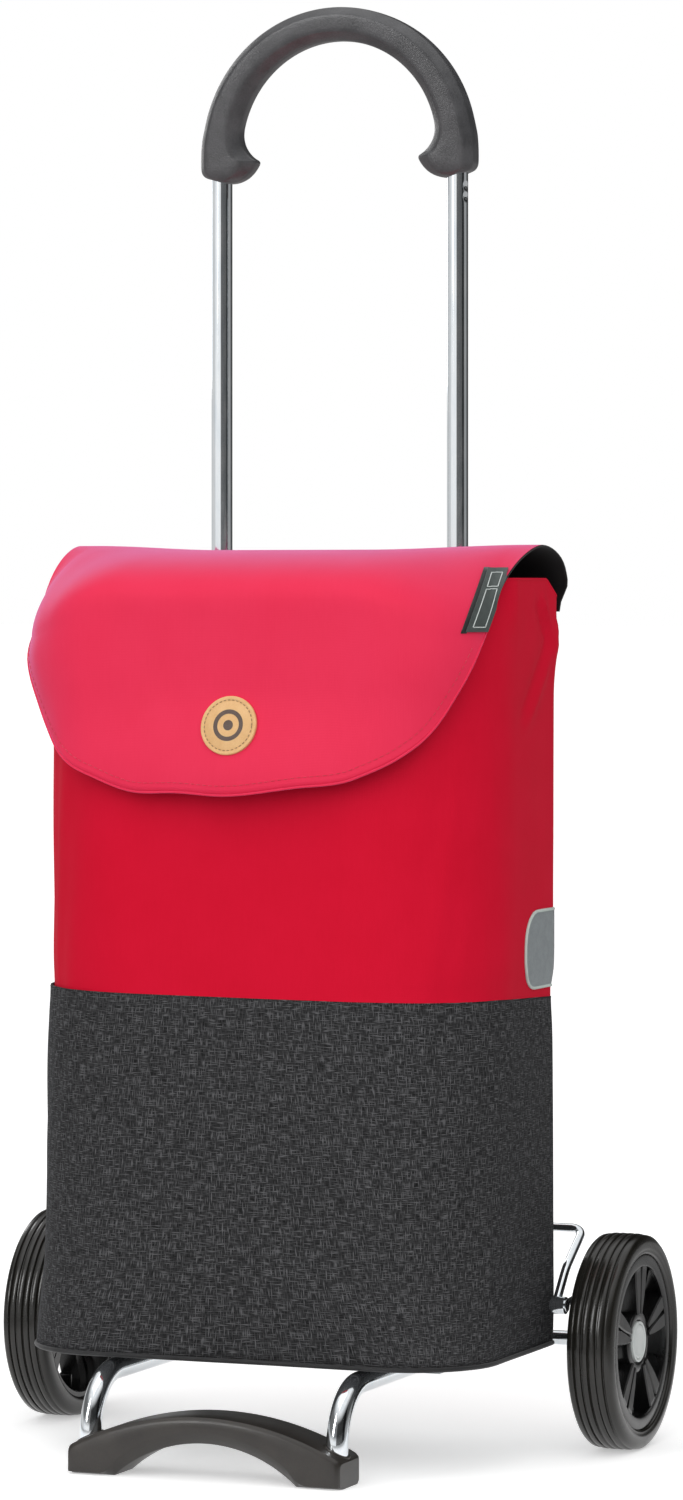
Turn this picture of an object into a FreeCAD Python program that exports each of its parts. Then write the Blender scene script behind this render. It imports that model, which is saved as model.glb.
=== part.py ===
import FreeCAD, Part
import math
import os

# A two-wheeled shopping trolley: a chromed tube frame with a half-ring handle, a folding
# stand with an arched foot, two push-button wheels, and a fabric bag with a flap.
# Millimetres. +X is to the right, +Y to the back, +Z up. The origin is on the floor,
# under the middle of the trolley's outline seen from above.

# ---- Overall sizes ----
overall_height = 1015.0
overall_width = 462.0
wheel_diameter = 150.0
stand_reach = 247.0             # axle's centre line to the front of the foot

# ---- Tube frame ----
tube_diameter = 15.0
tube_wall = 1.2
track = 90.5                    # middle of the trolley to each tube's centre line
axle_diameter = 10.0
running_clearance = 0.05        # radial, shaft in hole
seat_gap = 0.3                  # between pieces that rest or hang on each other
eye_radius = 10.5
eye_width = 14.0
eye_neck = 16.0                 # axle's centre line to the lower end of the upright tube
spigot_length = 25.0

# ---- Handle ----
grip_edge = 14.0                # tube's centre line to the ring's outer edge
grip_top_thickness = 25.0
grip_side_thickness = 28.5
grip_depth = 26.0
grip_skirt = 16.5               # from the ring's centre down to the grip's lower edge
grip_chamfer = 5.0
grip_corner = 9.0               # radius of the grip's lower outer corners
grip_waist_rise = 12.0          # spur's throat above the inner ring's centre
spur_reach = 14.2               # spur's tip in from the inner ring
spur_drop = 5.0                 # spur's tip below the ring's centre
spur_thickness = 2.0            # at its blunt tip
keel_drop = 3.5                 # grip's lowest point below its lower edge
socket_depth = 40.0
socket_slack = 0.5              # between a tube's end and the bottom of its socket
pin_radius = 2.0
pin_height = 20.0               # above the grip's lower edge
pin_front_cover = 4.0           # grip left in front of a pin
pin_back_inset = 1.0            # pin's end in from the grip's back

# ---- Hanger bar behind the bag ----
hanger_height = 586.0           # middle of the bar above the floor
hanger_bar_width = 16.0
hanger_bar_thickness = 2.0
hanger_rivet_radius = 2.2
hanger_rivet_head = 4.2
hanger_rivet_head_height = 1.6
hanger_rivet_reach = 4.0        # shank inside the upright
hook_spacing = 90.0
hook_width = 16.0
hook_thickness = 2.7
hook_tail = 18.0                # below the bar's lower edge
hook_lip = 5.0                  # end of the hook's lip below the bar's middle
hook_rivet_drop = 9.0           # below the bar's lower edge
hook_rivet_radius = 1.8
hook_rivet_reach = 4.0          # shank behind the bag's back panel

# ---- Folding stand ----
stand_tube_start = 32.0         # axle's centre line to the tube's rear end
stand_bend = 40.0
foot_depth = 40.0
foot_side_wall = 1.5
foot_top_height = 43.5
foot_end_height = 19.0
foot_arch_height = 25.0
foot_pad_length = 33.0
foot_chamfer = 4.0
socket_floor = 7.0
bracket_plate = 2.5
bracket_length = 62.0
bracket_web_inset = 2.0         # web's rear edge ahead of the stand tube's end
rivet_radius = 3.0
rivet_rim = 2.0                 # rivet's head beyond its shank
rivet_head_height = 1.8
stand_rivet_inset = 18.0        # rivet ahead of the stand tube's rear end
foot_pin_rise = 7.0             # above the floor of the foot's socket
foot_pin_back_inset = 1.0
foot_pin_front_cover = 8.0      # foot left in front of a pin

# ---- Wire bow ----
wire_radius = 3.0
bow_rise = 76.0                 # above the axle's centre line
bow_wheel_gap = 16.0            # middle of the bow's side wire to the wheel's inner face
bow_bend = 9.0
bow_knee_bend = 45.0
bow_knee_forward = 25.85        # knee of the side wire ahead of the axle's centre line
bow_knee_rise = 52.44           # above the axle's centre line
lug_forward = 47.0              # ahead of the axle's centre line
lug_rise = 29.0
lug_radius = 6.0
lug_thickness = 4.0
lug_clearance = 2.0             # round the link's ear, where the bow's wire is cut away
rivet_head = 4.4
bow_rivet_head_height = 1.2
link_radius = 2.5
link_bend = 10.0
link_ear_room = 0.4             # link's eye and ear are this much wider than the wire
link_rise = 3.0                 # link's upper run above the lug, at the axle
link_eye_wall = 3.5
spacer_wall = 2.6
axle_inset = 12.0               # axle's end inside the wheel's outer face
axle_groove_inset = 5.0         # catch groove in from the axle's end
axle_groove_width = 2.4
axle_groove_depth = 1.0

# ---- Wheels ----
wheel_width = 34.0
tyre_thickness = 14.0           # rim's barrel to the tread
tyre_shoulder = 6.0
tyre_bevel = 1.8                # shoulder's middle point in from both faces
tyre_side_rise = 3.0            # tyre's widest point beyond the rim
tyre_bead_inset = 1.5
rim_wall = 4.0
rim_lip = 9.0                   # face's ring, across the spokes' ends
rim_lip_depth = 4.0
rim_face_inset = 2.5            # rim's face behind the tyre's widest point
hub_radius = 21.5
hub_rear_taper = 6.0            # hub's rear end is this much smaller
hub_waist_taper = 3.0
hub_waist = 10.0                # from the hub's rear end
hub_rear_proud = 1.0            # behind the tyre's inner face
hub_front_inset = 5.5           # behind the tyre's outer face
hub_recess = 10.0               # depth of the well behind the button
bush_wall = 3.0
bush_front_inset = 12.0
spoke_depth = 15.0
spoke_pairs = 5
spoke_root_width = 3.8
spoke_tip_width = 10.4
spoke_root_lean = 8.0           # degrees from the pair's middle line
spoke_tip_lean = 7.3
spoke_root_overlap = 2.0        # spoke's root inside the hub
spoke_tip_overlap = 1.0         # spoke's and fin's ends inside the barrel
spoke_setback = 1.5             # behind the rim's face
fin_thickness = 1.4
fin_height = 11.0
fin_length = 12.0
fin_setback = 7.0               # behind the rim's face
button_radius = 12.0
button_travel = 3.0
button_proud = 0.5              # button's face ahead of the hub's
button_bevel = 3.0
button_bevel_depth = 1.0
cap_ring_width = 2.2
cap_ring_proud = 0.8
catch_radius = 0.9
catch_tail = 7.0                # wire's lower end below the axle's centre line
catch_rise = 3.5                # bend beyond the hub
catch_tip = (3.0, 6.0, 4.0)     # from the bend to the wire's free end
catch_bend = 3.0
groove_count = 5
groove_depth = 1.4
groove_edges = (0.21, 0.9, 1.5, 2.2)    # groove's lip, floor, floor and lip along the tread

# ---- Bag ----
bag_bottom_drop = 3.0           # bag's base below the axle's centre line
bag_seam = 318.5
bag_rim = 607.0
bag_wheel_gap = 30.0            # bag's side to the wheel's inner face
bag_back = 16.0                 # bag's back panel ahead of the axle's centre line
bag_front = 191.0               # bag's front panel ahead of the axle's centre line
bag_front_corner = 92.0
bag_base_corner = 60.0
bag_back_corner = 7.0
bag_wall = 2.4
bag_flare = 1.0                 # base is wider by this, and the seam narrower, on each side
bag_base_blend = 60.0           # height over which the base's corners turn to the bag's
lining_wall = 0.8
lining_gap = 0.15
lining_floor_gap = 0.2
lining_drop = 3.0               # lining's edge below the bag's rim
base_board_thickness = 4.0
base_board_gap = 0.3
piping_radius = 2.0
patch_thickness = 0.8
patch_height = 57.6
patch_length = 52.5
patch_corner = 24.0
patch_seam_gap = 1.5            # above the bag's seam

# ---- Flap ----
flap_top = 628.3
flap_hem = 460.0
flap_standoff = 11.0            # flap's outside ahead of the bag's front panel
flap_side_standoff = 7.0
flap_corner = 72.0
flap_wall = 3.0
flap_front_bend = 30.0
flap_back_run = 54.0            # back panel to the start of the level crown
flap_spring_rise = 3.0          # back curve starts this far above the bag's rim
flap_side_edge = 12.0           # side's open edge below the crown
flap_side_overlap = 5.0         # front's wrap ends this far inside its corner
flap_back_strip = 30.0          # back panel to the front of the strip that hangs behind the rim
cut_margin = 10.0               # cutters reach past the flap in steps of this
badge_radius = 20.5
badge_thickness = 1.5
badge_height = 504.0
magnet_radius = 9.0
tag_thickness = 1.0
tag_low = 572.0
tag_high = 612.0
tag_start = 25.0                # behind the flap's front
tag_width = 19.0
tag_inset = 40.0                # inner edge in from the bag's side

# Half of the hem, from the middle out: share of the half width, share of the height
# from the hem up to the bag's rim.
hem_shares = [(0.0, 0.0), (0.32, 0.04), (0.56, 0.08), (0.74, 0.17), (0.85, 0.33),
              (0.91, 0.49), (0.96, 0.69), (0.985, 0.93)]

# ---- Places worked out from the sizes above ----
wheel_radius = wheel_diameter / 2
tube_radius = tube_diameter / 2
axle_radius = axle_diameter / 2
rim_radius = wheel_radius - tyre_thickness
wheel_inner_x = overall_width / 2 - wheel_width
bow_half_width = wheel_inner_x - bow_wheel_gap
bag_half_width = wheel_inner_x - bag_wheel_gap
bag_bottom = wheel_radius - bag_bottom_drop
grip_outer_radius = track + grip_edge
axle_y = (stand_reach - wheel_radius) / 2
axle_z = wheel_radius
axle_end = overall_width / 2 - axle_inset
stand_run_z = bag_bottom - seat_gap - tube_radius
foot_tube_y = axle_y - stand_reach + foot_depth / 2
foot_half_width = track + tube_radius + foot_side_wall
grip_centre_z = overall_height - grip_outer_radius
grip_bottom_z = grip_centre_z - grip_skirt
upright_y_front = axle_y - tube_radius
sides = (("left", -1), ("right", 1))
arc_inset = 1 - math.sqrt(0.5)  # middle of a rounded corner, in from each side, per radius


def vec(x, y, z):
    return FreeCAD.Vector(x, y, z)


def rod(start, end, radius):
    """Round bar from one point to another."""
    along = end.sub(start)
    return Part.makeCylinder(radius, along.Length, start, along)


def block(low, high):
    size = high.sub(low)
    return Part.makeBox(size.x, size.y, size.z, low)


def closed_face(edges):
    return Part.Face(Part.Wire(Part.__sortEdges__(edges)))


def line(start, end):
    return Part.LineSegment(start, end).toShape()


def arc(start, middle, end):
    return Part.Arc(start, middle, end).toShape()


def rounded_corner(start, corner, end):
    """Quarter circle from start to end, inside the square corner between them."""
    middle = corner.add(start.sub(corner).add(end.sub(corner)) * arc_inset)
    return arc(start, middle, end)


def chain(points):
    """Straight lines from each point to the next."""
    return [line(start, end) for start, end in zip(points, points[1:])]


def union(shapes):
    whole = shapes[0]
    for shape in shapes[1:]:
        whole = whole.fuse(shape)
    return whole.removeSplitter()


def mirrored(shape):
    return shape.mirror(vec(0, 0, 0), vec(1, 0, 0))


def rounded_path(points, radii):
    """Straight runs joined by tangent arcs: one radius for each inner point."""
    edges = []
    start = points[0]
    for index in range(1, len(points) - 1):
        corner = points[index]
        back = points[index - 1].sub(corner).normalize()
        ahead = points[index + 1].sub(corner).normalize()
        half_angle = math.acos(max(-1.0, min(1.0, back.dot(ahead)))) / 2
        reach = radii[index - 1] / math.tan(half_angle)
        centre_way = back.add(ahead).normalize()
        centre = corner.add(centre_way * (radii[index - 1] / math.sin(half_angle)))
        first = corner.add(back * reach)
        last = corner.add(ahead * reach)
        middle = centre.sub(centre_way * radii[index - 1])
        edges.append(line(start, first))
        edges.append(arc(first, middle, last))
        start = last
    edges.append(line(start, points[-1]))
    return Part.Wire(edges)


def bent_rod(points, radii, radius):
    """Round bar along straight runs and arcs."""
    pieces = []
    for edge in rounded_path(points, radii).Edges:
        start = edge.valueAt(edge.FirstParameter)
        way = edge.tangentAt(edge.FirstParameter)
        if edge.Curve.TypeId == "Part::GeomLine":
            pieces.append(rod(start, edge.valueAt(edge.LastParameter), radius))
        else:
            disc = Part.Face(Part.Wire([Part.makeCircle(radius, start, way)]))
            span = math.degrees(edge.LastParameter - edge.FirstParameter)
            bend = disc.revolve(edge.Curve.Center, edge.Curve.Axis, span)
            if bend.Volume < 0:
                bend.reverse()
            pieces.append(bend)
    return union(pieces)


def turned(outline, centre, way):
    """Solid of revolution about a line through centre, from a closed outline."""
    face = Part.Face(Part.makePolygon(outline + [outline[0]]))
    return face.revolve(centre, way, 360)


# ---- Frame: handle, uprights, hanger bar ----

def grip_outline():
    """Front outline of the half-ring handle with its two inward spurs."""
    y = axle_y - grip_depth / 2
    inner_radius = grip_outer_radius - grip_side_thickness
    top_z = overall_height
    inner_top_z = top_z - grip_top_thickness
    inner_centre_z = inner_top_z - inner_radius
    corner = grip_corner
    corner_inset = 0.293 * corner
    waist_z = inner_centre_z + grip_waist_rise
    waist_x = math.sqrt(inner_radius ** 2 - grip_waist_rise ** 2)
    tip_x = inner_radius - spur_reach
    tip_z = grip_centre_z - spur_drop
    keel_x = track - tube_radius
    keel_z = grip_bottom_z - keel_drop
    edges = [arc(vec(-grip_outer_radius, y, grip_centre_z), vec(0, y, top_z),
                 vec(grip_outer_radius, y, grip_centre_z))]
    edges.append(arc(vec(-waist_x, y, waist_z), vec(0, y, inner_top_z), vec(waist_x, y, waist_z)))
    for side in (-1, 1):
        outer = vec(side * grip_outer_radius, y, grip_centre_z)
        skirt = vec(side * grip_outer_radius, y, grip_bottom_z + corner)
        turn = vec(side * (grip_outer_radius - corner_inset), y, grip_bottom_z + corner_inset)
        foot = vec(side * (grip_outer_radius - corner), y, grip_bottom_z)
        keel = vec(side * keel_x, y, keel_z)
        belly = vec(side * (keel_x - 13.5), y, keel_z + 5.0)
        tip = vec(side * tip_x, y, tip_z - spur_thickness / 2)
        nose = vec(side * tip_x, y, tip_z + spur_thickness / 2)
        throat = vec(side * (tip_x + 9.0), y, tip_z + 7.5)
        waist = vec(side * waist_x, y, waist_z)
        edges.append(line(outer, skirt))
        edges.append(arc(skirt, turn, foot))
        edges.append(line(foot, keel))
        edges.append(arc(keel, belly, tip))
        edges.append(line(tip, nose))
        edges.append(arc(nose, throat, waist))
    return closed_face(edges)


def chamfer_corner(edge_x, end, way):
    """Corner to cut away, at the front (end -1) or back (end 1) of the ring's edge."""
    y = axle_y + end * grip_depth / 2
    cut = grip_chamfer
    return [(edge_x + way * cut, y + end), (edge_x - way, y + end), (edge_x - way, y - end * cut),
            (edge_x, y - end * cut), (edge_x + way * cut, y)]


def ring_chamfer(radius, centre_z, end, way):
    """Chamfer round the upper half of a ring; way is 1 to cut outward, -1 inward."""
    outline = [vec(x, y, centre_z) for x, y in chamfer_corner(radius, end, way)]
    face = Part.Face(Part.makePolygon(outline + [outline[0]]))
    return face.revolve(vec(0, axle_y, centre_z), vec(0, -1, 0), 180)


def skirt_chamfer(side, end):
    low = grip_bottom_z - grip_chamfer
    outline = [vec(side * x, y, low) for x, y in chamfer_corner(grip_outer_radius, end, -1)]
    return Part.Face(Part.makePolygon(outline + [outline[0]])).extrude(vec(0, 0, grip_centre_z - low))


def make_grip():
    body = grip_outline().extrude(vec(0, grip_depth, 0))
    inner_radius = grip_outer_radius - grip_side_thickness
    inner_centre_z = overall_height - grip_top_thickness - inner_radius
    for end in (-1, 1):
        body = body.cut(ring_chamfer(grip_outer_radius, grip_centre_z, end, -1))
        body = body.cut(ring_chamfer(inner_radius, inner_centre_z, end, 1))
        for side in (-1, 1):
            body = body.cut(skirt_chamfer(side, end))
    for side in (-1, 1):
        low = vec(side * track, axle_y, grip_bottom_z - 2 * keel_drop)
        high = vec(side * track, axle_y, grip_bottom_z + socket_depth)
        body = body.cut(rod(low, high, tube_radius + running_clearance))
    return body


def pin_line(side):
    height = grip_bottom_z + pin_height
    front = vec(side * track, axle_y - grip_depth / 2 + pin_front_cover, height)
    back = vec(side * track, axle_y + grip_depth / 2 - pin_back_inset, height)
    return front, back


def make_upright(side):
    low = vec(side * track, axle_y, axle_z + eye_neck)
    high = vec(side * track, axle_y, grip_bottom_z + socket_depth - socket_slack)
    bore = rod(low.sub(vec(0, 0, 1)), high.add(vec(0, 0, 1)), tube_radius - tube_wall)
    return rod(low, high, tube_radius).cut(bore)


def make_eye(side):
    """Hinge eye at the foot of an upright, with a spigot up into the tube."""
    middle = vec(side * track, axle_y, axle_z)
    half = vec(eye_width / 2, 0, 0)
    boss = rod(middle.sub(half), middle.add(half), eye_radius)
    neck = rod(middle, middle.add(vec(0, 0, eye_neck)), tube_radius - tube_wall / 2)
    spigot_top = middle.add(vec(0, 0, eye_neck + spigot_length))
    spigot = rod(middle, spigot_top, tube_radius - tube_wall - running_clearance)
    bore = rod(middle.sub(half * 2), middle.add(half * 2), axle_radius + running_clearance)
    return union([boss, neck, spigot]).cut(bore)


def make_hanger_bar():
    front = upright_y_front - hanger_bar_thickness
    low = vec(-track - tube_radius, front, hanger_height - hanger_bar_width / 2)
    high = vec(track + tube_radius, upright_y_front, hanger_height + hanger_bar_width / 2)
    return block(low, high)


def hanger_rivet(side):
    face = vec(side * track, upright_y_front - hanger_bar_thickness, hanger_height)
    head = rod(face.sub(vec(0, hanger_rivet_head_height, 0)), face, hanger_rivet_head)
    shank_end = vec(side * track, upright_y_front + hanger_rivet_reach, hanger_height)
    return head.fuse(rod(face, shank_end, hanger_rivet_radius)).removeSplitter()


# ---- Undercarriage: axle, bow, folding stand ----

def make_axle():
    shaft = rod(vec(-axle_end, axle_y, axle_z), vec(axle_end, axle_y, axle_z), axle_radius)
    for side in (-1, 1):
        outer = vec(side * (axle_end - axle_groove_inset), axle_y, axle_z)
        inner = outer.sub(vec(side * axle_groove_width, 0, 0))
        floor = rod(inner, outer, axle_radius - axle_groove_depth)
        ring = rod(inner, outer, axle_radius + axle_groove_depth).cut(floor)
        shaft = shaft.cut(ring)
    return shaft


def lug_centre(side):
    return vec(side * bow_half_width, axle_y - lug_forward, axle_z + lug_rise)


def make_bow():
    """Bent wire behind the uprights, down and forward to a lug at each side."""
    y = axle_y + tube_radius + wire_radius + seat_gap
    z = axle_z + bow_rise
    points = []
    for side in (-1, 1):
        lug = lug_centre(side)
        knee = vec(lug.x, axle_y - bow_knee_forward, axle_z + bow_knee_rise)
        leg = [lug, knee, vec(lug.x, y, z)]
        if side > 0:
            leg.reverse()
        points = points + leg
    bends = [bow_knee_bend, bow_bend, bow_bend, bow_knee_bend]
    pieces = [bent_rod(points, bends, wire_radius)]
    half = vec(lug_thickness / 2, 0, 0)
    for side in (-1, 1):
        lug = lug_centre(side)
        pieces.append(rod(lug.sub(half), lug.add(half), lug_radius))
    bow = union(pieces)
    reach = vec(2 * wire_radius, 0, 0)
    for side in (-1, 1):
        lug = lug_centre(side)
        bow = bow.cut(rod(lug.sub(half + reach), lug.add(half + reach), link_radius))
        for way, room in ((1, lug_radius + lug_clearance), (-1, rivet_head + seat_gap / 3)):
            face = lug.add(half * side * way)
            bow = bow.cut(rod(face, face.add(reach * side * way), room))
    return bow


def link_x():
    """Inner and outer face of the link, outside the bow's lug."""
    inner = bow_half_width + lug_thickness / 2 + seat_gap / 3
    return inner, inner + 2 * link_radius + link_ear_room


def make_link():
    """Wire link on the right side, from the bow's lug back and down to the axle."""
    inner, outer = link_x()
    middle = (inner + outer) / 2
    lug = lug_centre(1)
    points = [vec(middle, lug.y, lug.z), vec(middle, axle_y, lug.z + link_rise),
              vec(middle, axle_y, axle_z)]
    wire = bent_rod(points, [link_bend], link_radius)
    ear = rod(vec(inner, lug.y, lug.z), vec(outer, lug.y, lug.z), lug_radius)
    eye = rod(vec(inner, axle_y, axle_z), vec(outer, axle_y, axle_z), axle_radius + link_eye_wall)
    link = union([wire, ear, eye])
    link = link.cut(rod(vec(inner - 5, lug.y, lug.z), vec(outer + 5, lug.y, lug.z), link_radius))
    link = link.cut(rod(vec(inner - 5, axle_y, axle_z), vec(outer + 5, axle_y, axle_z), axle_radius))
    return link


def bow_rivet():
    lug = lug_centre(1)
    low = vec(bow_half_width - lug_thickness / 2, lug.y, lug.z)
    high = vec(link_x()[1], lug.y, lug.z)
    head_height = vec(bow_rivet_head_height, 0, 0)
    head = rod(low.sub(head_height), low, rivet_head)
    tail = rod(high, high.add(head_height), rivet_head)
    return union([rod(low, high, link_radius), head, tail])


def axle_spacer():
    start = link_x()[1]
    end = hub_ends()[0] - seat_gap
    sleeve = rod(vec(start, axle_y, axle_z), vec(end, axle_y, axle_z), axle_radius + spacer_wall)
    return sleeve.cut(rod(vec(start - 1, axle_y, axle_z), vec(end + 1, axle_y, axle_z), axle_radius))


def stand_rivet_point(side):
    return vec(side * track, axle_y - stand_tube_start - stand_rivet_inset, stand_run_z)


def bracket_gap():
    """Half the space between a bracket's two cheeks."""
    return max(tube_radius, eye_width / 2) + seat_gap


def make_bracket(side):
    """Channel that carries a stand tube's rear end and hinges on the axle."""
    gap = bracket_gap()
    web_z = stand_run_z - tube_radius - seat_gap
    front = axle_y - bracket_length
    pieces = []
    for cheek in (-1, 1):
        x = side * track + (gap if cheek > 0 else -gap - bracket_plate)
        outline = [vec(x, axle_y, stand_run_z + tube_radius), vec(x, front, stand_run_z + tube_radius),
                   vec(x, front, web_z - bracket_plate), vec(x, axle_y, axle_z - eye_radius)]
        plate = Part.Face(Part.makePolygon(outline + [outline[0]])).extrude(vec(bracket_plate, 0, 0))
        disc = rod(vec(x, axle_y, axle_z), vec(x + bracket_plate, axle_y, axle_z), eye_radius)
        pieces.append(plate.fuse(disc))
    web_back = axle_y - stand_tube_start - bracket_web_inset
    pieces.append(block(vec(side * track - gap - bracket_plate, front, web_z - bracket_plate),
                        vec(side * track + gap + bracket_plate, web_back, web_z)))
    bracket = union(pieces)
    reach = gap + 2 * bracket_plate
    middle = vec(side * track, axle_y, axle_z)
    bracket = bracket.cut(rod(middle.sub(vec(reach, 0, 0)), middle.add(vec(reach, 0, 0)), axle_radius))
    hole = stand_rivet_point(side)
    return bracket.cut(rod(hole.sub(vec(reach, 0, 0)), hole.add(vec(reach, 0, 0)), rivet_radius))


def stand_rivet(side):
    point = stand_rivet_point(side)
    reach = bracket_gap() + bracket_plate
    pieces = [rod(point.sub(vec(reach, 0, 0)), point.add(vec(reach, 0, 0)), rivet_radius)]
    for end in (-1, 1):
        face = point.add(vec(end * reach, 0, 0))
        outer = face.add(vec(end * rivet_head_height, 0, 0))
        pieces.append(rod(face, outer, rivet_radius + rivet_rim))
    return union(pieces)


def make_stand_tube(side):
    points = [vec(side * track, axle_y - stand_tube_start, stand_run_z),
              vec(side * track, foot_tube_y, stand_run_z),
              vec(side * track, foot_tube_y, socket_floor + socket_slack)]
    outer = bent_rod(points, [stand_bend], tube_radius)
    tube = outer.cut(bent_rod(points, [stand_bend], tube_radius - tube_wall))
    hole = stand_rivet_point(side)
    reach = vec(tube_diameter, 0, 0)
    tube = tube.cut(rod(hole.sub(reach), hole.add(reach), rivet_radius))
    return tube.cut(foot_pin(side))


def foot_pin(side):
    height = socket_floor + foot_pin_rise
    back = vec(side * track, foot_tube_y + foot_depth / 2 - foot_pin_back_inset, height)
    length = foot_depth - foot_pin_back_inset - foot_pin_front_cover
    return rod(back, back.sub(vec(0, length, 0)), pin_radius)


def make_foot():
    """Arched foot: two pads on the floor, joined by an arch, with a socket at each end."""
    y = foot_tube_y - foot_depth / 2
    half = foot_half_width
    pad = half - foot_pad_length
    left_end = vec(-half, y, foot_end_height)
    right_end = vec(half, y, foot_end_height)
    edges = [arc(left_end, vec(0, y, foot_top_height), right_end),
             arc(vec(-pad, y, 0), vec(0, y, foot_arch_height), vec(pad, y, 0))]
    for side, end in ((-1, left_end), (1, right_end)):
        edges = edges + chain([end, vec(side * half, y, 0), vec(side * pad, y, 0)])
    foot = closed_face(edges).extrude(vec(0, foot_depth, 0))
    rims = []
    for edge in foot.Edges:
        box = edge.BoundBox
        if box.YLength < 0.01 and box.XLength > foot_half_width and box.ZMax > foot_arch_height + 1.0:
            rims.append(edge)
    foot = foot.makeChamfer(foot_chamfer, rims)
    for side in (-1, 1):
        low = vec(side * track, foot_tube_y, socket_floor)
        foot = foot.cut(rod(low, low.add(vec(0, 0, foot_top_height)), tube_radius + running_clearance))
        foot = foot.cut(foot_pin(side))
    return foot


# ---- Wheels, built at the right side ----

def ring_section(points):
    """Solid turned about the axle from (distance along X, radius) points."""
    outline = [vec(x, axle_y, axle_z + radius) for x, radius in points]
    return turned(outline, vec(0, axle_y, axle_z), vec(1, 0, 0))


def make_tyre():
    outer = overall_width / 2
    inner = outer - wheel_width
    side_radius = rim_radius + tyre_side_rise
    shoulder_radius = wheel_radius - tyre_shoulder
    bevel_radius = wheel_radius - tyre_bevel
    points = [(inner + tyre_bead_inset, rim_radius), (inner, side_radius), (inner, shoulder_radius),
              (inner + tyre_bevel, bevel_radius), (inner + tyre_shoulder, wheel_radius)]
    pitch = (wheel_width - 2 * tyre_shoulder) / (groove_count - 1)
    depths = (0.0, groove_depth, groove_depth, 0.0)
    for index in range(groove_count):
        x = inner + tyre_shoulder + index * pitch
        for along, depth in zip(groove_edges, depths):
            points.append((x + along, wheel_radius - depth))
    points = points + [(outer - tyre_bevel, bevel_radius), (outer, shoulder_radius),
                       (outer, side_radius), (outer - tyre_bead_inset, rim_radius)]
    return ring_section(points)


def wheel_faces():
    """X of the rim's outer face and of the rim's inner edge."""
    return overall_width / 2 - rim_face_inset, overall_width / 2 - wheel_width + rim_face_inset


def hub_ends():
    """X of the hub's rear end and of its front."""
    return wheel_inner_x - hub_rear_proud, overall_width / 2 - hub_front_inset


def make_rim():
    """Moulded rim: a barrel, five twin spokes and a hub."""
    face, back = wheel_faces()
    bore = rim_radius - rim_wall
    lip = rim_radius - rim_lip
    step = face - rim_lip_depth
    barrel = ring_section([(back, rim_radius), (back, bore), (step, bore), (step, lip),
                           (face, lip), (face, rim_radius)])
    hub_in, hub_out = hub_ends()
    bush_radius = axle_radius + bush_wall
    well_radius = button_radius + cap_ring_width
    well_floor = hub_out - hub_recess
    hub_core = ring_section([(hub_in, bush_radius), (hub_in, hub_radius - hub_rear_taper),
                             (hub_in + hub_waist, hub_radius - hub_waist_taper),
                             (hub_out, hub_radius), (hub_out, well_radius),
                             (well_floor, well_radius), (well_floor, bush_radius)])
    pieces = [barrel, hub_core]
    root_radius = hub_radius - spoke_root_overlap
    tip_radius = bore + spoke_tip_overlap
    for pair in range(spoke_pairs):
        for lean in (-1, 1):
            middle = math.radians(90.0 + pair * 360.0 / spoke_pairs)
            root_angle = middle + lean * math.radians(spoke_root_lean)
            tip_angle = middle + lean * math.radians(spoke_tip_lean)
            root = (root_radius, root_angle, spoke_root_width / 2)
            tip = (tip_radius, tip_angle, spoke_tip_width / 2)
            pieces.append(make_spoke(root, tip, face - spoke_setback))
        pieces.append(make_fin(90.0 + (pair + 0.5) * 360.0 / spoke_pairs, face - fin_setback))
    return union(pieces)


def make_fin(turn, front_x):
    """Thin stiffening fin inside the barrel, midway between two pairs of spokes."""
    half = fin_thickness / 2
    bore_y = axle_y + rim_radius - rim_wall
    low = vec(front_x - fin_length, bore_y - fin_height, axle_z - half)
    high = vec(front_x, bore_y + spoke_tip_overlap, axle_z + half)
    fin = block(low, high)
    return fin.rotate(vec(0, axle_y, axle_z), vec(1, 0, 0), turn)


def make_spoke(root, tip, front_x):
    """Blade from the hub to the barrel, wider at the barrel, given in polar form."""
    corners = []
    for radius, angle, width in (root, tip):
        along = (math.cos(angle), math.sin(angle))
        across = (-along[1], along[0])
        for way in (-1, 1):
            corners.append(vec(front_x, axle_y + radius * along[0] + way * width * across[0],
                               axle_z + radius * along[1] + way * width * across[1]))
    outline = [corners[0], corners[1], corners[3], corners[2], corners[0]]
    return Part.Face(Part.makePolygon(outline)).extrude(vec(-spoke_depth, 0, 0))


def make_bush():
    hub_in, hub_out = hub_ends()
    inner = axle_radius + running_clearance
    outer = axle_radius + bush_wall
    end = hub_out - bush_front_inset
    return ring_section([(hub_in, inner), (hub_in, outer), (end, outer), (end, inner)])


def make_cap_ring():
    hub_out = hub_ends()[1]
    outer = button_radius + cap_ring_width
    inner = button_radius + seat_gap / 3
    floor = hub_out - hub_recess
    face = hub_out + cap_ring_proud
    return ring_section([(floor, outer), (floor, inner), (face, inner), (face, outer)])


def make_button():
    hub_out = hub_ends()[1]
    face = hub_out + button_proud
    floor = axle_end + button_travel + seat_gap
    return ring_section([(floor, 0.0), (floor, button_radius),
                         (face - button_bevel_depth, button_radius),
                         (face, button_radius - button_bevel), (face, 0.0)])


def make_catch():
    """Spring-wire catch that crosses the hub and drops into the axle's groove."""
    x = axle_end - axle_groove_inset - axle_groove_width / 2
    side = axle_radius - axle_groove_depth + catch_radius + running_clearance
    bend = vec(x, axle_y - side, axle_z + hub_radius + catch_rise)
    points = [vec(x, axle_y - side, axle_z - catch_tail), bend, bend.add(vec(*catch_tip))]
    return bent_rod(points, [catch_bend], catch_radius)


# ---- Bag ----

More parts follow.
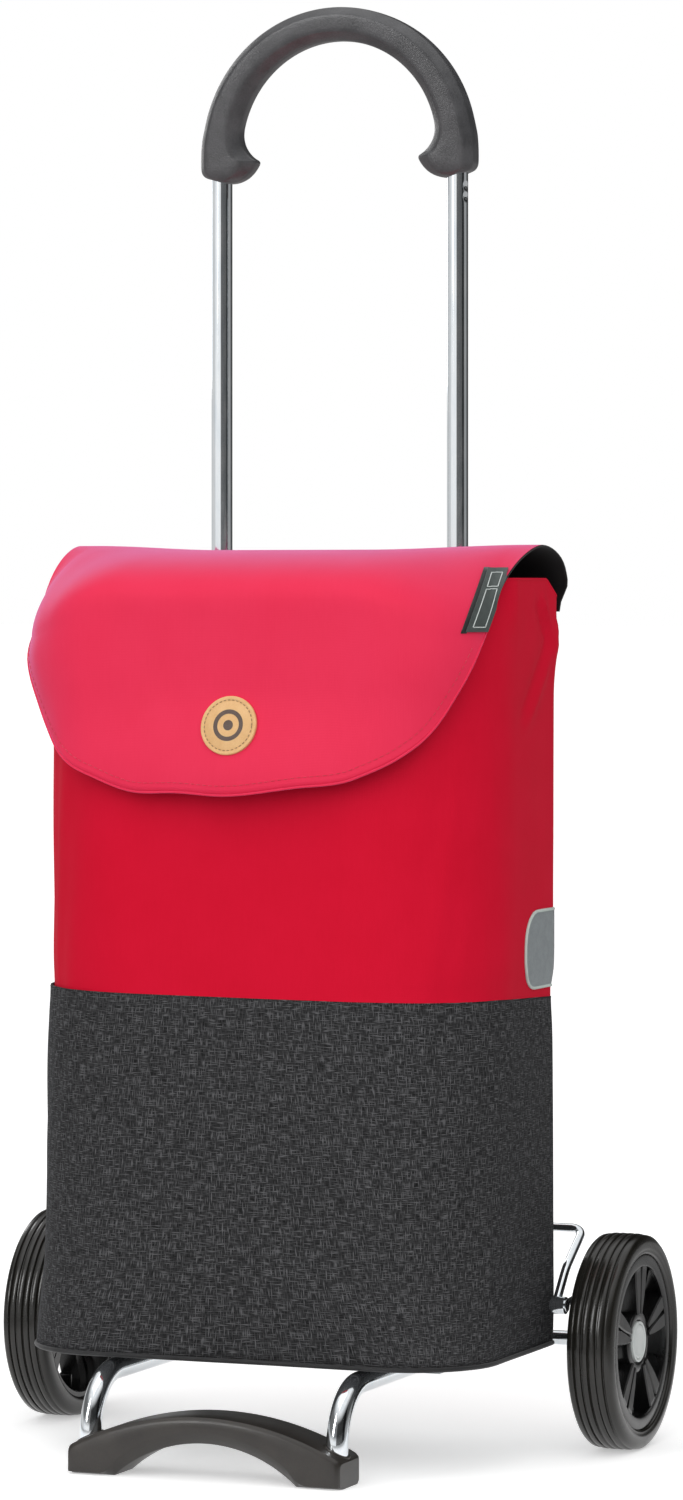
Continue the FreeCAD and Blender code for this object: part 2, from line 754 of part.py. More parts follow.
def bag_plan(z, offset, corner, half_width, front):
    """Outline of the bag at one height, grown outward by offset."""
    back_y = axle_y - bag_back + offset
    front_y = axle_y - front - offset
    half = half_width + offset
    big = corner + offset
    small = bag_back_corner + offset
    corners = [(vec(half, back_y, z), small), (vec(half, front_y, z), big),
               (vec(-half, front_y, z), big), (vec(-half, back_y, z), small)]
    edges = []
    last = vec(-half + small, back_y, z)
    for index, (point, radius) in enumerate(corners):
        before = corners[index - 1][0].sub(point).normalize() * radius
        after = corners[(index + 1) % len(corners)][0].sub(point).normalize() * radius
        edges.append(line(last, point.add(before)))
        last = point.add(after)
        edges.append(rounded_corner(point.add(before), point, last))
    return Part.Wire(edges)


def bag_sections():
    """Height, front corner radius, half width and front reach, from bottom to rim."""
    blend_corner = (bag_base_corner + bag_front_corner) / 2
    return [(bag_bottom, bag_base_corner, bag_half_width + bag_flare, bag_front),
            (bag_bottom + bag_base_blend, blend_corner, bag_half_width, bag_front),
            (bag_seam, bag_front_corner, bag_half_width - bag_flare, bag_front),
            (bag_rim, bag_front_corner, bag_half_width, bag_front)]


def bag_solid(offset, low, high):
    """Filled shape of the bag between two heights, grown outward by offset."""
    wires = [bag_plan(z, offset, corner, half, front) for z, corner, half, front in bag_sections()]
    whole = Part.makeLoft(wires, True, True)
    big = 2 * overall_width
    return whole.common(block(vec(-big, -big, low), vec(big, big, high)))


def make_lower_bag():
    outer = bag_solid(0.0, bag_bottom, bag_seam)
    inner = bag_solid(-bag_wall, bag_bottom + bag_wall, bag_seam)
    return outer.cut(inner).cut(make_piping())


def make_upper_bag():
    shell = bag_solid(0.0, bag_seam, bag_rim).cut(bag_solid(-bag_wall, bag_seam, bag_rim))
    for x in hook_places():
        shell = shell.cut(hook_rivet(x))
    return shell


def make_piping():
    """Corded edge round the bag's base."""
    z = bag_bottom + piping_radius + seat_gap
    path = bag_plan(z, 0.0, bag_base_corner, bag_half_width + bag_flare, bag_front)
    start = path.Edges[0].valueAt(path.Edges[0].FirstParameter)
    ring = Part.Wire([Part.makeCircle(piping_radius, start, vec(1, 0, 0))])
    return path.makePipeShell([ring], True, False)


def make_base_board():
    low = bag_bottom + bag_wall
    return bag_solid(-bag_wall - base_board_gap, low, low + base_board_thickness)


def make_lining():
    low = bag_bottom + bag_wall + base_board_thickness + lining_floor_gap
    high = bag_rim - lining_drop
    inset = bag_wall + lining_gap
    return bag_solid(-inset, low, high).cut(bag_solid(-inset - lining_wall, low, high))


def make_reflector(side):
    """Reflective patch on the side panel, its back edge at the rear corner seam."""
    low_z = bag_seam + patch_seam_gap
    high_z = low_z + patch_height
    back = axle_y - bag_back - bag_back_corner
    front = back - patch_length
    skin = bag_solid(patch_thickness, low_z, high_z).cut(bag_solid(0.0, low_z - 1, high_z + 1))
    near, far = sorted((side * bag_half_width / 2, side * overall_width))
    shape = block(vec(near, front, low_z), vec(far, back, high_z))
    corners = [edge for edge in shape.Edges
               if edge.BoundBox.XLength > bag_half_width and abs(edge.BoundBox.YMin - front) < 0.01]
    return skin.common(shape.makeFillet(patch_corner, corners))


def hook_places():
    return (-hook_spacing / 2, hook_spacing / 2)


def make_hook(x):
    """Plastic hook on the bag's back that drops over the hanger bar."""
    back_panel = axle_y - bag_back
    bar_front = upright_y_front - hanger_bar_thickness - seat_gap
    bar_back = upright_y_front + seat_gap
    top = hanger_height + hanger_bar_width / 2 + seat_gap
    left = x - hook_width / 2
    bottom = hanger_height - hanger_bar_width / 2 - hook_tail
    lip = hanger_height - hook_lip
    outer = bar_back + hook_thickness
    crown = top + hook_thickness
    profile = [(back_panel, bottom), (back_panel, crown), (outer, crown), (outer, lip),
               (bar_back, lip), (bar_back, top), (bar_front, top), (bar_front, bottom)]
    outline = [vec(left, y, z) for y, z in profile]
    hook = Part.Face(Part.makePolygon(outline + [outline[0]])).extrude(vec(hook_width, 0, 0))
    return hook.cut(hook_rivet(x))


def hook_rivet(x):
    z = hanger_height - hanger_bar_width / 2 - hook_rivet_drop
    back_panel = axle_y - bag_back
    end = vec(x, back_panel + hook_rivet_reach, z)
    return rod(vec(x, back_panel - bag_wall, z), end, hook_rivet_radius)


# ---- Flap ----

def flap_front():
    return bag_front + flap_standoff


def flap_solid(offset):
    """Filled shape under the flap's skin, grown outward by offset."""
    back = axle_y - bag_back + offset
    front = axle_y - flap_front() - offset
    top = flap_top + offset
    crown = axle_y - bag_back - flap_back_run
    low = flap_hem - 2 * cut_margin
    bend = flap_front_bend + offset
    spring = bag_rim + flap_spring_rise
    half = bag_half_width + flap_side_standoff + offset
    rise = top - spring
    run = back - crown
    back_curve = Part.BSplineCurve()
    turns = [math.radians(turn) for turn in (0, 30, 60, 90)]
    back_curve.interpolate([vec(-half, crown + run * math.cos(turn), spring + rise * math.sin(turn))
                            for turn in turns])
    bend_top = vec(-half, front + bend, top)
    bend_low = vec(-half, front, top - bend)
    edges = [back_curve.toShape(), line(vec(-half, crown, top), bend_top),
             rounded_corner(bend_top, vec(-half, front, top), bend_low)]
    back_low = vec(-half, back, low)
    edges = edges + chain([bend_low, vec(-half, front, low), back_low, vec(-half, back, spring)])
    arch = closed_face(edges).extrude(vec(2 * half, 0, 0))
    corner = flap_corner + offset
    right_end = vec(half, front + corner, low)
    left_end = vec(-half, front + corner, low)
    right_front = vec(half - corner, front, low)
    left_front = vec(-half + corner, front, low)
    plan = chain([left_end, vec(-half, back, low), vec(half, back, low), right_end])
    plan.append(rounded_corner(right_end, vec(half, front, low), right_front))
    plan.append(line(right_front, left_front))
    plan.append(rounded_corner(left_front, vec(-half, front, low), left_end))
    column = Part.Face(Part.Wire(plan)).extrude(vec(0, 0, top - low + 1.0))
    return arch.common(column)


def hem_cutter():
    """Everything below the flap's rounded hem, seen from the front."""
    width = bag_half_width + flap_side_standoff
    half = width + cut_margin
    front = axle_y - flap_front() - 3 * cut_margin
    drop = bag_rim - flap_hem
    right = [vec(share * width, front, flap_hem + rise * drop) for share, rise in hem_shares]
    left = [vec(-point.x, point.y, point.z) for point in reversed(right[1:])]
    curve = Part.BSplineCurve()
    curve.interpolate(left + right)
    low = flap_hem - 4 * cut_margin
    last = right[-1]
    border = chain([last, vec(half, front, last.z), vec(half, front, low), vec(-half, front, low),
                    vec(-half, front, last.z), vec(-last.x, front, last.z)])
    return closed_face([curve.toShape()] + border).extrude(vec(0, flap_front() + 4 * cut_margin, 0))


def make_flap():
    skin = flap_solid(0.0).cut(flap_solid(-flap_wall))
    big = overall_width
    low_z = flap_hem - 5 * cut_margin
    back_y = axle_y + cut_margin / 2
    end_front = axle_y - flap_front() + flap_corner - flap_side_overlap
    reach = vec(flap_side_edge, 0, 0)
    for side in (-1, 1):
        x = side * (bag_half_width + flap_side_standoff)
        low = vec(x, end_front, low_z).sub(reach)
        skin = skin.cut(block(low, vec(x, back_y, flap_top - flap_side_edge).add(reach)))
    low = vec(-big, axle_y - bag_back - flap_back_strip, low_z)
    return skin.cut(hem_cutter()).cut(block(low, vec(big, back_y, bag_rim + seat_gap)))


def make_badge():
    y = axle_y - flap_front()
    return rod(vec(0, y, badge_height), vec(0, y - badge_thickness, badge_height), badge_radius)


def make_magnets():
    """Magnet under the flap and the one it meets on the bag's front."""
    flap_y = axle_y - flap_front() + flap_wall
    bag_y = axle_y - bag_front
    middle = (flap_y + bag_y) / 2
    on_flap = rod(vec(0, flap_y, badge_height), vec(0, middle - seat_gap / 2, badge_height), magnet_radius)
    on_bag = rod(vec(0, bag_y, badge_height), vec(0, middle + seat_gap / 2, badge_height), magnet_radius)
    return on_flap, on_bag


def make_tag():
    """Folded woven label near the flap's right edge."""
    start = axle_y - flap_front() + tag_start
    skin = flap_solid(tag_thickness).cut(flap_solid(0.0))
    low = vec(bag_half_width - tag_inset, start, tag_low)
    return skin.common(block(low, vec(overall_width / 2, start + tag_width, tag_high)))


# ---- All nodes ----

nodes = {}
nodes["handle_grip"] = make_grip()
pins = []
rivets = []
for name, side in sides:
    front, back = pin_line(side)
    pin = rod(front, back, pin_radius)
    pins.append(pin)
    nodes["handle_grip"] = nodes["handle_grip"].cut(pin)
    nodes["upright_tube_" + name] = make_upright(side).cut(pin).cut(hanger_rivet(side))
    nodes["upright_eye_" + name] = make_eye(side)
    rivets.append(hanger_rivet(side))
nodes["handle_pins"] = Part.makeCompound(pins)
nodes["hanger_bar"] = make_hanger_bar()
for rivet in rivets:
    nodes["hanger_bar"] = nodes["hanger_bar"].cut(rivet)
nodes["hanger_rivets"] = Part.makeCompound(rivets)

nodes["axle"] = make_axle()
nodes["wire_bow"] = make_bow()
nodes["bow_link_right"] = make_link()
nodes["bow_link_left"] = mirrored(nodes["bow_link_right"])
nodes["bow_rivets"] = Part.makeCompound([bow_rivet(), mirrored(bow_rivet())])
nodes["axle_spacers"] = Part.makeCompound([axle_spacer(), mirrored(axle_spacer())])
for name, side in sides:
    nodes["stand_bracket_" + name] = make_bracket(side)
    nodes["stand_tube_" + name] = make_stand_tube(side)
nodes["stand_rivets"] = Part.makeCompound([stand_rivet(side) for name, side in sides])
nodes["foot_arch"] = make_foot()
nodes["foot_pins"] = Part.makeCompound([foot_pin(side) for name, side in sides])

wheel_pieces = {"tyre": make_tyre(), "rim": make_rim(), "bush": make_bush(),
                "cap_ring": make_cap_ring(), "catch": make_catch()}
for piece in ("rim", "bush"):
    wheel_pieces[piece] = wheel_pieces[piece].cut(wheel_pieces["catch"])
for piece, shape in wheel_pieces.items():
    nodes["wheel_right_" + piece] = shape
    nodes["wheel_left_" + piece] = mirrored(shape)
nodes["hub_button_right"] = make_button()
nodes["hub_button_left"] = mirrored(nodes["hub_button_right"])

nodes["bag_lower"] = make_lower_bag()
nodes["bag_upper"] = make_upper_bag()
nodes["bag_piping"] = make_piping()
nodes["base_board"] = make_base_board()
nodes["bag_lining"] = make_lining()
for name, side in sides:
    nodes["reflector_" + name] = make_reflector(side)
nodes["hanging_hook_left"] = make_hook(hook_places()[0])
nodes["hanging_hook_right"] = make_hook(hook_places()[1])
nodes["hook_rivets"] = Part.makeCompound([hook_rivet(x) for x in hook_places()])
flap_magnet, bag_magnet = make_magnets()
nodes["bag_magnet"] = bag_magnet
nodes["flap_magnet"] = flap_magnet
nodes["flap_panel"] = make_flap()
nodes["flap_badge"] = make_badge()
nodes["woven_tag"] = make_tag()

os.makedirs("parts", exist_ok=True)
for name, shape in nodes.items():
    print(name, "solids", len(shape.Solids), "volume", round(shape.Volume), "valid", shape.isValid())
    shape.exportStep("parts/" + name + ".step")
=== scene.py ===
import bpy
import math
import numpy as np
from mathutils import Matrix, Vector, noise


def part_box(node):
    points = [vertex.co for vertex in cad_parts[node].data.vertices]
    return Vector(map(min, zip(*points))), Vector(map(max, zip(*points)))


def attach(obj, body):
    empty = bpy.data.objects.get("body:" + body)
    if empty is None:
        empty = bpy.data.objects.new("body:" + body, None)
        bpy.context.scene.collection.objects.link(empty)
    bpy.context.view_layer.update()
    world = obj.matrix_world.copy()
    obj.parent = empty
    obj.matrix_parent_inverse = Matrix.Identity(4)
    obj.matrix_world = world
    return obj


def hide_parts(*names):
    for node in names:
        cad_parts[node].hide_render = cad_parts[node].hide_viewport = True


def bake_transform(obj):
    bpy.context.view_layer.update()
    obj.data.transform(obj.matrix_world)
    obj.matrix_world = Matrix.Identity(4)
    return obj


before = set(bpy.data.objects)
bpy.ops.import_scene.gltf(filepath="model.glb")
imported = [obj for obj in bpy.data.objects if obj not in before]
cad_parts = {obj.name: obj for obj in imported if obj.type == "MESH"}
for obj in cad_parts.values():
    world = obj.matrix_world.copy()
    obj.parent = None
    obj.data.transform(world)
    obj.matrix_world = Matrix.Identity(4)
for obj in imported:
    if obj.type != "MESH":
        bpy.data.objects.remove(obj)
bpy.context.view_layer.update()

# A shopping trolley on two wheels: chromed tube frame, half-ring handle, folding stand with an
# arched foot, and a fabric bag with a flap. Lengths in the dictionaries are in millimetres,
# +X to the right, +Y to the back. Places marked "from the axle" have y 0 at the axle's centre line.

mm = 0.001
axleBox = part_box("axle")
axleY = (axleBox[0].y + axleBox[1].y) / 2 / mm
axleZ = (axleBox[0].z + axleBox[1].z) / 2 / mm
print("frame loaded: axle at", round(axleY, 2), round(axleZ, 2))


# material helpers

def hexToLinear(code):  # sRGB hex to linear RGBA
    parts = [int(code[i:i + 2], 16) / 255 for i in (1, 3, 5)]
    return tuple(p / 12.92 if p <= 0.04045 else ((p + 0.055) / 1.055) ** 2.4 for p in parts) + (1.0,)


def addNode(tree, kind, settings=None, inputs=None):  # a node with its settings, values and links
    node = tree.nodes.new("ShaderNode" + kind)
    for key, value in (settings or {}).items():
        setattr(node, key, value)
    for key, value in (inputs or {}).items():
        if isinstance(value, bpy.types.NodeSocket):
            tree.links.new(value, node.inputs[key])
        else:
            node.inputs[key].default_value = value
    return node


def calculate(tree, operation, *values):
    return addNode(tree, "Math", {"operation": operation}, dict(enumerate(values))).outputs[0]


def measureVector(tree, operation, *values):  # a length or a dot product, as one number
    return addNode(tree, "VectorMath", {"operation": operation}, dict(enumerate(values))).outputs["Value"]


def mixColours(tree, share, first, second, way="MIX"):
    settings = {"data_type": "RGBA", "blend_type": way}
    return addNode(tree, "Mix", settings, {0: share, 6: first, 7: second}).outputs[2]


def spread(tree, value, low, high, bottom=0.0, top=1.0):  # low to high becomes bottom to top
    return addNode(tree, "MapRange", inputs={"Value": value, "From Min": low, "From Max": high,
                                             "To Min": bottom, "To Max": top}).outputs[0]


def rampColours(tree, value, stops):  # stops are (place, hex or grey level)
    node = addNode(tree, "ValToRGB", inputs={0: value})
    elements = node.color_ramp.elements
    while len(elements) < len(stops):
        elements.new(0.5)
    for element, (place, colour) in zip(elements, stops):
        element.position = place
        element.color = hexToLinear(colour) if isinstance(colour, str) else (colour, colour, colour, 1)
    return node.outputs[0]


def addNoise(tree, place, detail=2.0):
    return addNode(tree, "TexNoise", inputs={"Vector": place, "Scale": 1.0, "Detail": detail})


def addBump(tree, shader, height, strength, depthMm):
    bump = addNode(tree, "Bump", inputs={"Height": height, "Strength": strength, "Distance": depthMm * mm})
    tree.links.new(bump.outputs[0], shader.inputs["Normal"])


def startMaterial(name, **values):  # a material and its one shader, with constants on the shader's sockets
    material = bpy.data.materials.new(name)
    material.use_nodes = True
    shader = material.node_tree.nodes["Principled BSDF"]
    for key, value in values.items():
        socket = key.replace("_", " ")
        shader.inputs[socket].default_value = hexToLinear(value) if isinstance(value, str) else value
    return material, material.node_tree, shader


# mesh helpers

def gridFaces(rows, columns, closed=False, looped=False):  # quads over a grid of points, row by row
    faces = []
    for i in range(rows if looped else rows - 1):
        low, high = i * columns, (i + 1) % rows * columns
        for j in range(columns if closed else columns - 1):
            k = (j + 1) % columns
            faces.append((low + j, low + k, high + k, high + j))
    return faces


def endCaps(rows, columns, flip=False):  # one face over the first row and one over the last
    last = (rows - 1) * columns
    first, final = tuple(reversed(range(columns))), tuple(range(last, last + columns))
    return [first[::-1], final[::-1]] if flip else [first, final]


def flipped(faces, start=0):
    return [tuple(start + k for k in reversed(face)) for face in faces]


def makePiece(name, points, faces, material, body, replaces=(), uvs=None, flip=False):
    mesh = bpy.data.meshes.new(name)
    mesh.from_pydata([tuple(c * mm for c in p) for p in points], [], flipped(faces) if flip else faces)
    if uvs is not None:
        layer = mesh.uv_layers.new(name="cloth")
        for loop in mesh.loops:
            layer.data[loop.index].uv = uvs[loop.vertex_index]
    mesh.validate()
    piece = bpy.data.objects.new(name, mesh)
    bpy.context.scene.collection.objects.link(piece)
    for m in (material if isinstance(material, list) else [material]):
        mesh.materials.append(m)
    mesh.polygons.foreach_set("use_smooth", [True] * len(mesh.polygons))
    if body:
        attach(piece, body)
    if replaces:
        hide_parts(*replaces)
    return piece


def applyModifier(piece, kind, **settings):
    modifier = piece.modifiers.new(kind.lower(), kind)
    for key, value in settings.items():
        setattr(modifier, key, value)
    bpy.context.view_layer.update()
    made = bpy.data.meshes.new_from_object(piece.evaluated_get(bpy.context.evaluated_depsgraph_get()))
    piece.modifiers.remove(modifier)
    old = piece.data
    made.name = old.name
    piece.data = made
    bpy.data.meshes.remove(old)


def sharpen(piece, degrees):  # smooth shading, but crisp over edges steeper than this
    normals = {}
    for polygon in piece.data.polygons:
        for key in polygon.edge_keys:
            normals.setdefault(key, []).append(polygon.normal.copy())
    limit = math.cos(math.radians(degrees))
    for edge in piece.data.edges:
        pair = normals.get(edge.key, [])
        edge.use_edge_sharp = len(pair) == 2 and pair[0].dot(pair[1]) < limit


def sweep(path, radius, segments=16, closed=False):  # points and faces of a round bar, without twist
    path = np.array(path, float)
    ahead = np.roll(path, -1, 0) - np.roll(path, 1, 0) if closed else np.gradient(path, axis=0)
    ahead /= np.linalg.norm(ahead, axis=1)[:, None]
    start = np.array([0.0, 0, 1]) if abs(ahead[0][2]) < 0.9 else np.array([1.0, 0, 0])
    side = np.cross(ahead[0], start)
    radii = np.broadcast_to(np.array(radius, float), (len(path),))
    points = []
    for spot, way, r in zip(path, ahead, radii):
        side = side - way * (side @ way)
        side /= np.linalg.norm(side)
        up = np.cross(way, side)
        for t in np.linspace(0, 2 * math.pi, segments, endpoint=False):
            points.append(spot + r * (math.cos(t) * side + math.sin(t) * up))
    faces = gridFaces(len(path), segments, True, closed)
    return points, faces if closed else faces + endCaps(len(path), segments)


def joinParts(parts):  # several (points, faces) as one
    points, faces = [], []
    for p, f in parts:
        start = len(points)
        points += [tuple(q) for q in p]
        faces += [tuple(start + k for k in face) for face in f]
    return points, faces


def mirrorX(part):
    points, faces = part
    return [(-p[0], p[1], p[2]) for p in points], flipped(faces)


def roundedPath(corners, radii, step=3.0):  # straight runs joined by arcs
    corners = [np.array(c, float) for c in corners]
    path = [corners[0]]
    for i in range(1, len(corners) - 1):
        radius = radii[i - 1]
        back, ahead = corners[i - 1] - corners[i], corners[i + 1] - corners[i]
        back, ahead = back / np.linalg.norm(back), ahead / np.linalg.norm(ahead)
        half = math.acos(max(-1, min(1, back @ ahead))) / 2
        centre = corners[i] + (back + ahead) / np.linalg.norm(back + ahead) * radius / math.sin(half)
        first = corners[i] + back * radius / math.tan(half)
        last = corners[i] + ahead * radius / math.tan(half)
        count = max(3, int(radius * (math.pi - 2 * half) / step))
        u, v = first - centre, last - centre
        span = math.acos(max(-1, min(1, (u @ v) / radius ** 2)))
        for k in range(count + 1):
            t = k / count
            path.append(centre + (math.sin((1 - t) * span) * u + math.sin(t * span) * v) / math.sin(span))
    path.append(corners[-1])
    return path


def smoothStep(t):
    t = max(0.0, min(1.0, t))
    return t * t * (3 - 2 * t)


def rise(value, start, over):  # 0 before start, 1 after start + over, smooth between
    return smoothStep((value - start) / over)


def ridge(value, centre, width):
    return math.exp(-((value - centre) / width) ** 2)


def frontUvs(points):  # cloth coordinates of an edge, as seen from the front
    return [(p[0], p[2]) for p in points]


# camera, floor and light

camera = {"angle": 22.0, "distance": 3960.0, "height": 600.0, "lens": 133.39, "sensor": 36.0,
          "shiftX": 0.0018, "shiftY": -0.1075, "clip": (0.1, 200.0)}
studio = {"floorSize": 80.0, "floorGlow": 0.42, "floorFade": (0.35, 0.75), "low": 0.33, "rise": 0.26,
          "key": 1.62, "keyWay": (0.26, -0.94, 0.22), "keyPower": 2.1, "ceiling": (0.55, 0.80),
          "panelHeight": (0.10, 0.24), "panelDim": 0.22, "lamp": 9.0, "lampWay": (0.883, -0.469, 0.0),
          "lampWidth": (0.09, 0.12)}
white = (1, 1, 1, 1)

cameraData = bpy.data.cameras.new("camera")
cameraData.lens, cameraData.sensor_width = camera["lens"], camera["sensor"]
cameraData.shift_x, cameraData.shift_y = camera["shiftX"], camera["shiftY"]
cameraData.clip_start, cameraData.clip_end = camera["clip"]
cameraObject = bpy.data.objects.new("camera", cameraData)
bpy.context.scene.collection.objects.link(cameraObject)
turn = math.radians(camera["angle"])
cameraObject.location = (math.sin(turn) * camera["distance"] * mm,
                         (axleY - math.cos(turn) * camera["distance"]) * mm, camera["height"] * mm)
cameraObject.rotation_euler = (math.pi / 2, 0, turn)
bpy.context.scene.camera = cameraObject
bpy.context.scene.view_settings.view_transform = "Standard"


def makeFloor():
    # Matt pale paper: gives the eye a clean ground with only a soft contact shadow.
    paper, tree, shader = startMaterial("palePaper", Roughness=0.9, Emission_Strength=studio["floorGlow"],
                                        Specular_IOR_Level=0.1, Emission_Color=white)
    path = addNode(tree, "LightPath").outputs
    tone = mixColours(tree, path["Is Diffuse Ray"], hexToLinear("#F6F6F6"), hexToLinear("#747474"))
    away = measureVector(tree, "LENGTH", addNode(tree, "TexCoord").outputs["Object"])
    fade = calculate(tree, "MULTIPLY", spread(tree, away, *studio["floorFade"]), path["Is Glossy Ray"])
    tone = mixColours(tree, fade, tone, hexToLinear("#2A2A2A"))
    tree.links.new(tone, shader.inputs["Base Color"])
    size = studio["floorSize"]
    mesh = bpy.data.meshes.new("floor")
    mesh.from_pydata([(-size, -size, 0), (size, -size, 0), (size, size, 0), (-size, size, 0)], [],
                     [(0, 1, 2, 3)])
    mesh.materials.append(paper)
    floor = bpy.data.objects.new("floor", mesh)
    bpy.context.scene.collection.objects.link(floor)


def addSoftbox(name, place, aim, width, height, watts):
    light = bpy.data.lights.new(name, "AREA")
    light.shape, light.size, light.size_y, light.energy = "RECTANGLE", width, height, watts
    holder = bpy.data.objects.new(name, light)
    bpy.context.scene.collection.objects.link(holder)
    holder.location = place
    holder.rotation_euler = (Vector(aim) - Vector(place)).to_track_quat("-Z", "Y").to_euler()


def makeRoom():
    # The room: even white for matt things, and panels and dark gaps for chrome to mirror.
    world = bpy.data.worlds.new("studio")
    world.use_nodes = True
    bpy.context.scene.world = world
    tree = world.node_tree
    way = addNode(tree, "TexCoord").outputs["Generated"]
    across, along, up = addNode(tree, "SeparateXYZ", inputs={0: way}).outputs[:3]
    frontward = calculate(tree, "MULTIPLY", along, -1.0)
    azimuth = spread(tree, calculate(tree, "ARCTAN2", across, frontward), -math.pi, math.pi)
    panels = rampColours(tree, azimuth, [
        (0.0, 0.10), (0.055, 0.10), (0.075, 0.62), (0.335, 0.72), (0.355, 1.0), (0.515, 1.0), (0.535, 0.14),
        (0.69, 0.10), (0.705, 0.02), (0.76, 0.02), (0.775, 0.34), (0.86, 0.34), (0.88, 0.06), (1.0, 0.08)])
    dimmer = spread(tree, up, *studio["panelHeight"], 1.0, studio["panelDim"])
    low = addNode(tree, "VectorMath", {"operation": "SCALE"}, {0: panels, "Scale": dimmer}).outputs[0]
    mirrored = mixColours(tree, spread(tree, up, *studio["ceiling"]), low, white)
    # a tall narrow lamp, high on the left, that draws the streaks along rubber and plastic
    aside = calculate(tree, "ABSOLUTE", measureVector(tree, "DOT_PRODUCT", way, studio["lampWay"]))
    lampAcross = spread(tree, aside, *studio["lampWidth"], 1.0, 0.0)
    lampUp = rampColours(tree, up, [(0.22, 0.0), (0.30, 1.0), (0.62, 1.0), (0.70, 0.0)])
    lampFront = calculate(tree, "GREATER_THAN", frontward, 0.0)
    lamp = calculate(tree, "MULTIPLY", calculate(tree, "MULTIPLY", lampAcross, lampUp), lampFront)
    mirrored = mixColours(tree, lamp, mirrored, (studio["lamp"],) * 3 + (1,))
    # the matt light: a little brighter upwards, with one broad key from the front
    path = addNode(tree, "LightPath").outputs
    sky = spread(tree, up, 0.0, 1.0, studio["low"], studio["low"] + studio["rise"])
    facing = measureVector(tree, "DOT_PRODUCT", way, studio["keyWay"])
    lobe = calculate(tree, "POWER", calculate(tree, "MAXIMUM", facing, 0.0), studio["keyPower"])
    matt = calculate(tree, "MULTIPLY_ADD", lobe, studio["key"], sky)
    even = mixColours(tree, path["Is Camera Ray"], matt, white)
    room = mixColours(tree, path["Is Glossy Ray"], even, mirrored)
    tree.links.new(room, tree.nodes["Background"].inputs["Color"])


makeFloor()
addSoftbox("overhead", (-0.3, -0.5, 2.9), (0, 0, 0.4), 2.2, 2.2, 7.0)
addSoftbox("frontLeft", (-1.35, -2.5, 1.85), (0, 0, 0.45), 0.4, 1.9, 5.0)
addSoftbox("backLeft", (-2.2, 1.6, 1.6), (0, 0, 0.6), 0.5, 1.6, 8.0)
makeRoom()
print("camera, floor and light ready")


# finishes

def placed(tree, source, scale):
    return addNode(tree, "Mapping", inputs={"Vector": source, "Scale": scale}).outputs[0]


def surfacePlace(tree, acrossMm, alongMm=None):  # place on the piece, so that 1 is this many millimetres
    scale = (1000 / acrossMm, 1000 / acrossMm, 1000 / (alongMm or acrossMm))
    return placed(tree, addNode(tree, "TexCoord").outputs["Object"], scale)


def clothPlace(tree, acrossMm, alongMm):  # place on the cloth, so that 1 is this many millimetres
    source = addNode(tree, "UVMap", {"uv_map": "cloth"}).outputs[0]
    return placed(tree, source, (1 / acrossMm, 1 / alongMm, 1))


def grainFinish(name, grainMm, depthMm, roughness, colours, patchMm, **values):
    # fine bump, slightly uneven roughness and slow drift between two colours
    material, tree, shader = startMaterial(name, **values)
    fine = addNoise(tree, surfacePlace(tree, grainMm), 3.0).outputs
    slow = addNoise(tree, surfacePlace(tree, patchMm), 4.0).outputs
    addBump(tree, shader, fine["Fac"], 0.35, depthMm)
    tree.links.new(spread(tree, slow["Fac"], 0.3, 0.7, *roughness), shader.inputs["Roughness"])
    drift = mixColours(tree, 0.35, slow["Color"], fine["Color"])
    tint = rampColours(tree, drift, [(0.35, colours[0]), (0.65, colours[1])])
    tree.links.new(tint, shader.inputs["Base Color"])
    return material


def makeChrome():
    # Bright chrome plate on drawn steel tube: mirrors the room in long stripes, with a faint haze.
    material, tree, shader = startMaterial("chromeSteel", Metallic=1.0)
    haze = addNoise(tree, surfacePlace(tree, 1000 / 300, 1000 / 45), 4.0).outputs["Fac"]
    tree.links.new(spread(tree, haze, 0.0, 1.0, 0.03, 0.14), shader.inputs["Roughness"])
    tree.links.new(rampColours(tree, haze, [(0.3, "#DDE3E8"), (0.7, "#ECEFF1")]), shader.inputs["Base Color"])
    return material


chromeSteel = makeChrome()
# Zinc-plated strip steel: duller and bluer than chrome, with a cloudy plating pattern.
zincSteel = grainFinish("zincSteel", 3.0, 0.03, (0.24, 0.42), ("#A9AEB4", "#C3C7CB"), 12.0, Metallic=1.0)
# Soft-touch moulded polymer on the handle: dark grey, fine leather-like grain, broad dull sheen.
softTouchPlastic = grainFinish("softTouchPlastic", 1.3, 0.50, (0.29, 0.36), ("#38383A", "#525254"), 14.0,
                               IOR=1.49)
# Moulded polypropylene foot: a little darker and browner, with rubbed patches.
footPlastic = grainFinish("footPlastic", 1.1, 0.12, (0.31, 0.38), ("#272422", "#37332F"), 18.0, IOR=1.49)
# Foam-rubber tyre: brown-black, with a low sheen along its ribs.
tyreRubber = grainFinish("tyreRubber", 1.4, 0.03, (0.18, 0.28), ("#141310", "#1D1B17"), 14.0, IOR=1.52)
# Moulded polypropylene rim: charcoal with a satin face.
rimPlastic = grainFinish("rimPlastic", 0.9, 0.05, (0.20, 0.28), ("#0D0D0D", "#131313"), 16.0, IOR=1.49)
# The same plastic, matt and lighter on the spokes' outward faces: the lighter colour is a painted highlight
# for the light those faces catch.
litSpokePlastic = grainFinish("litSpokePlastic", 0.9, 0.12, (0.5, 0.65), ("#343434", "#414141"), 12.0, IOR=1.49)
# Light grey push button and its ring: smooth moulded ABS.
hubPlastic = grainFinish("hubPlastic", 0.7, 0.03, (0.28, 0.38), ("#C6CBCA", "#D6DAD8"), 10.0, IOR=1.53)
# Natural nylon bush: milky and slightly waxy.
nylonBush = grainFinish("nylonBush", 0.8, 0.03, (0.35, 0.45), ("#D9D6CC", "#E4E1D8"), 10.0, IOR=1.53)
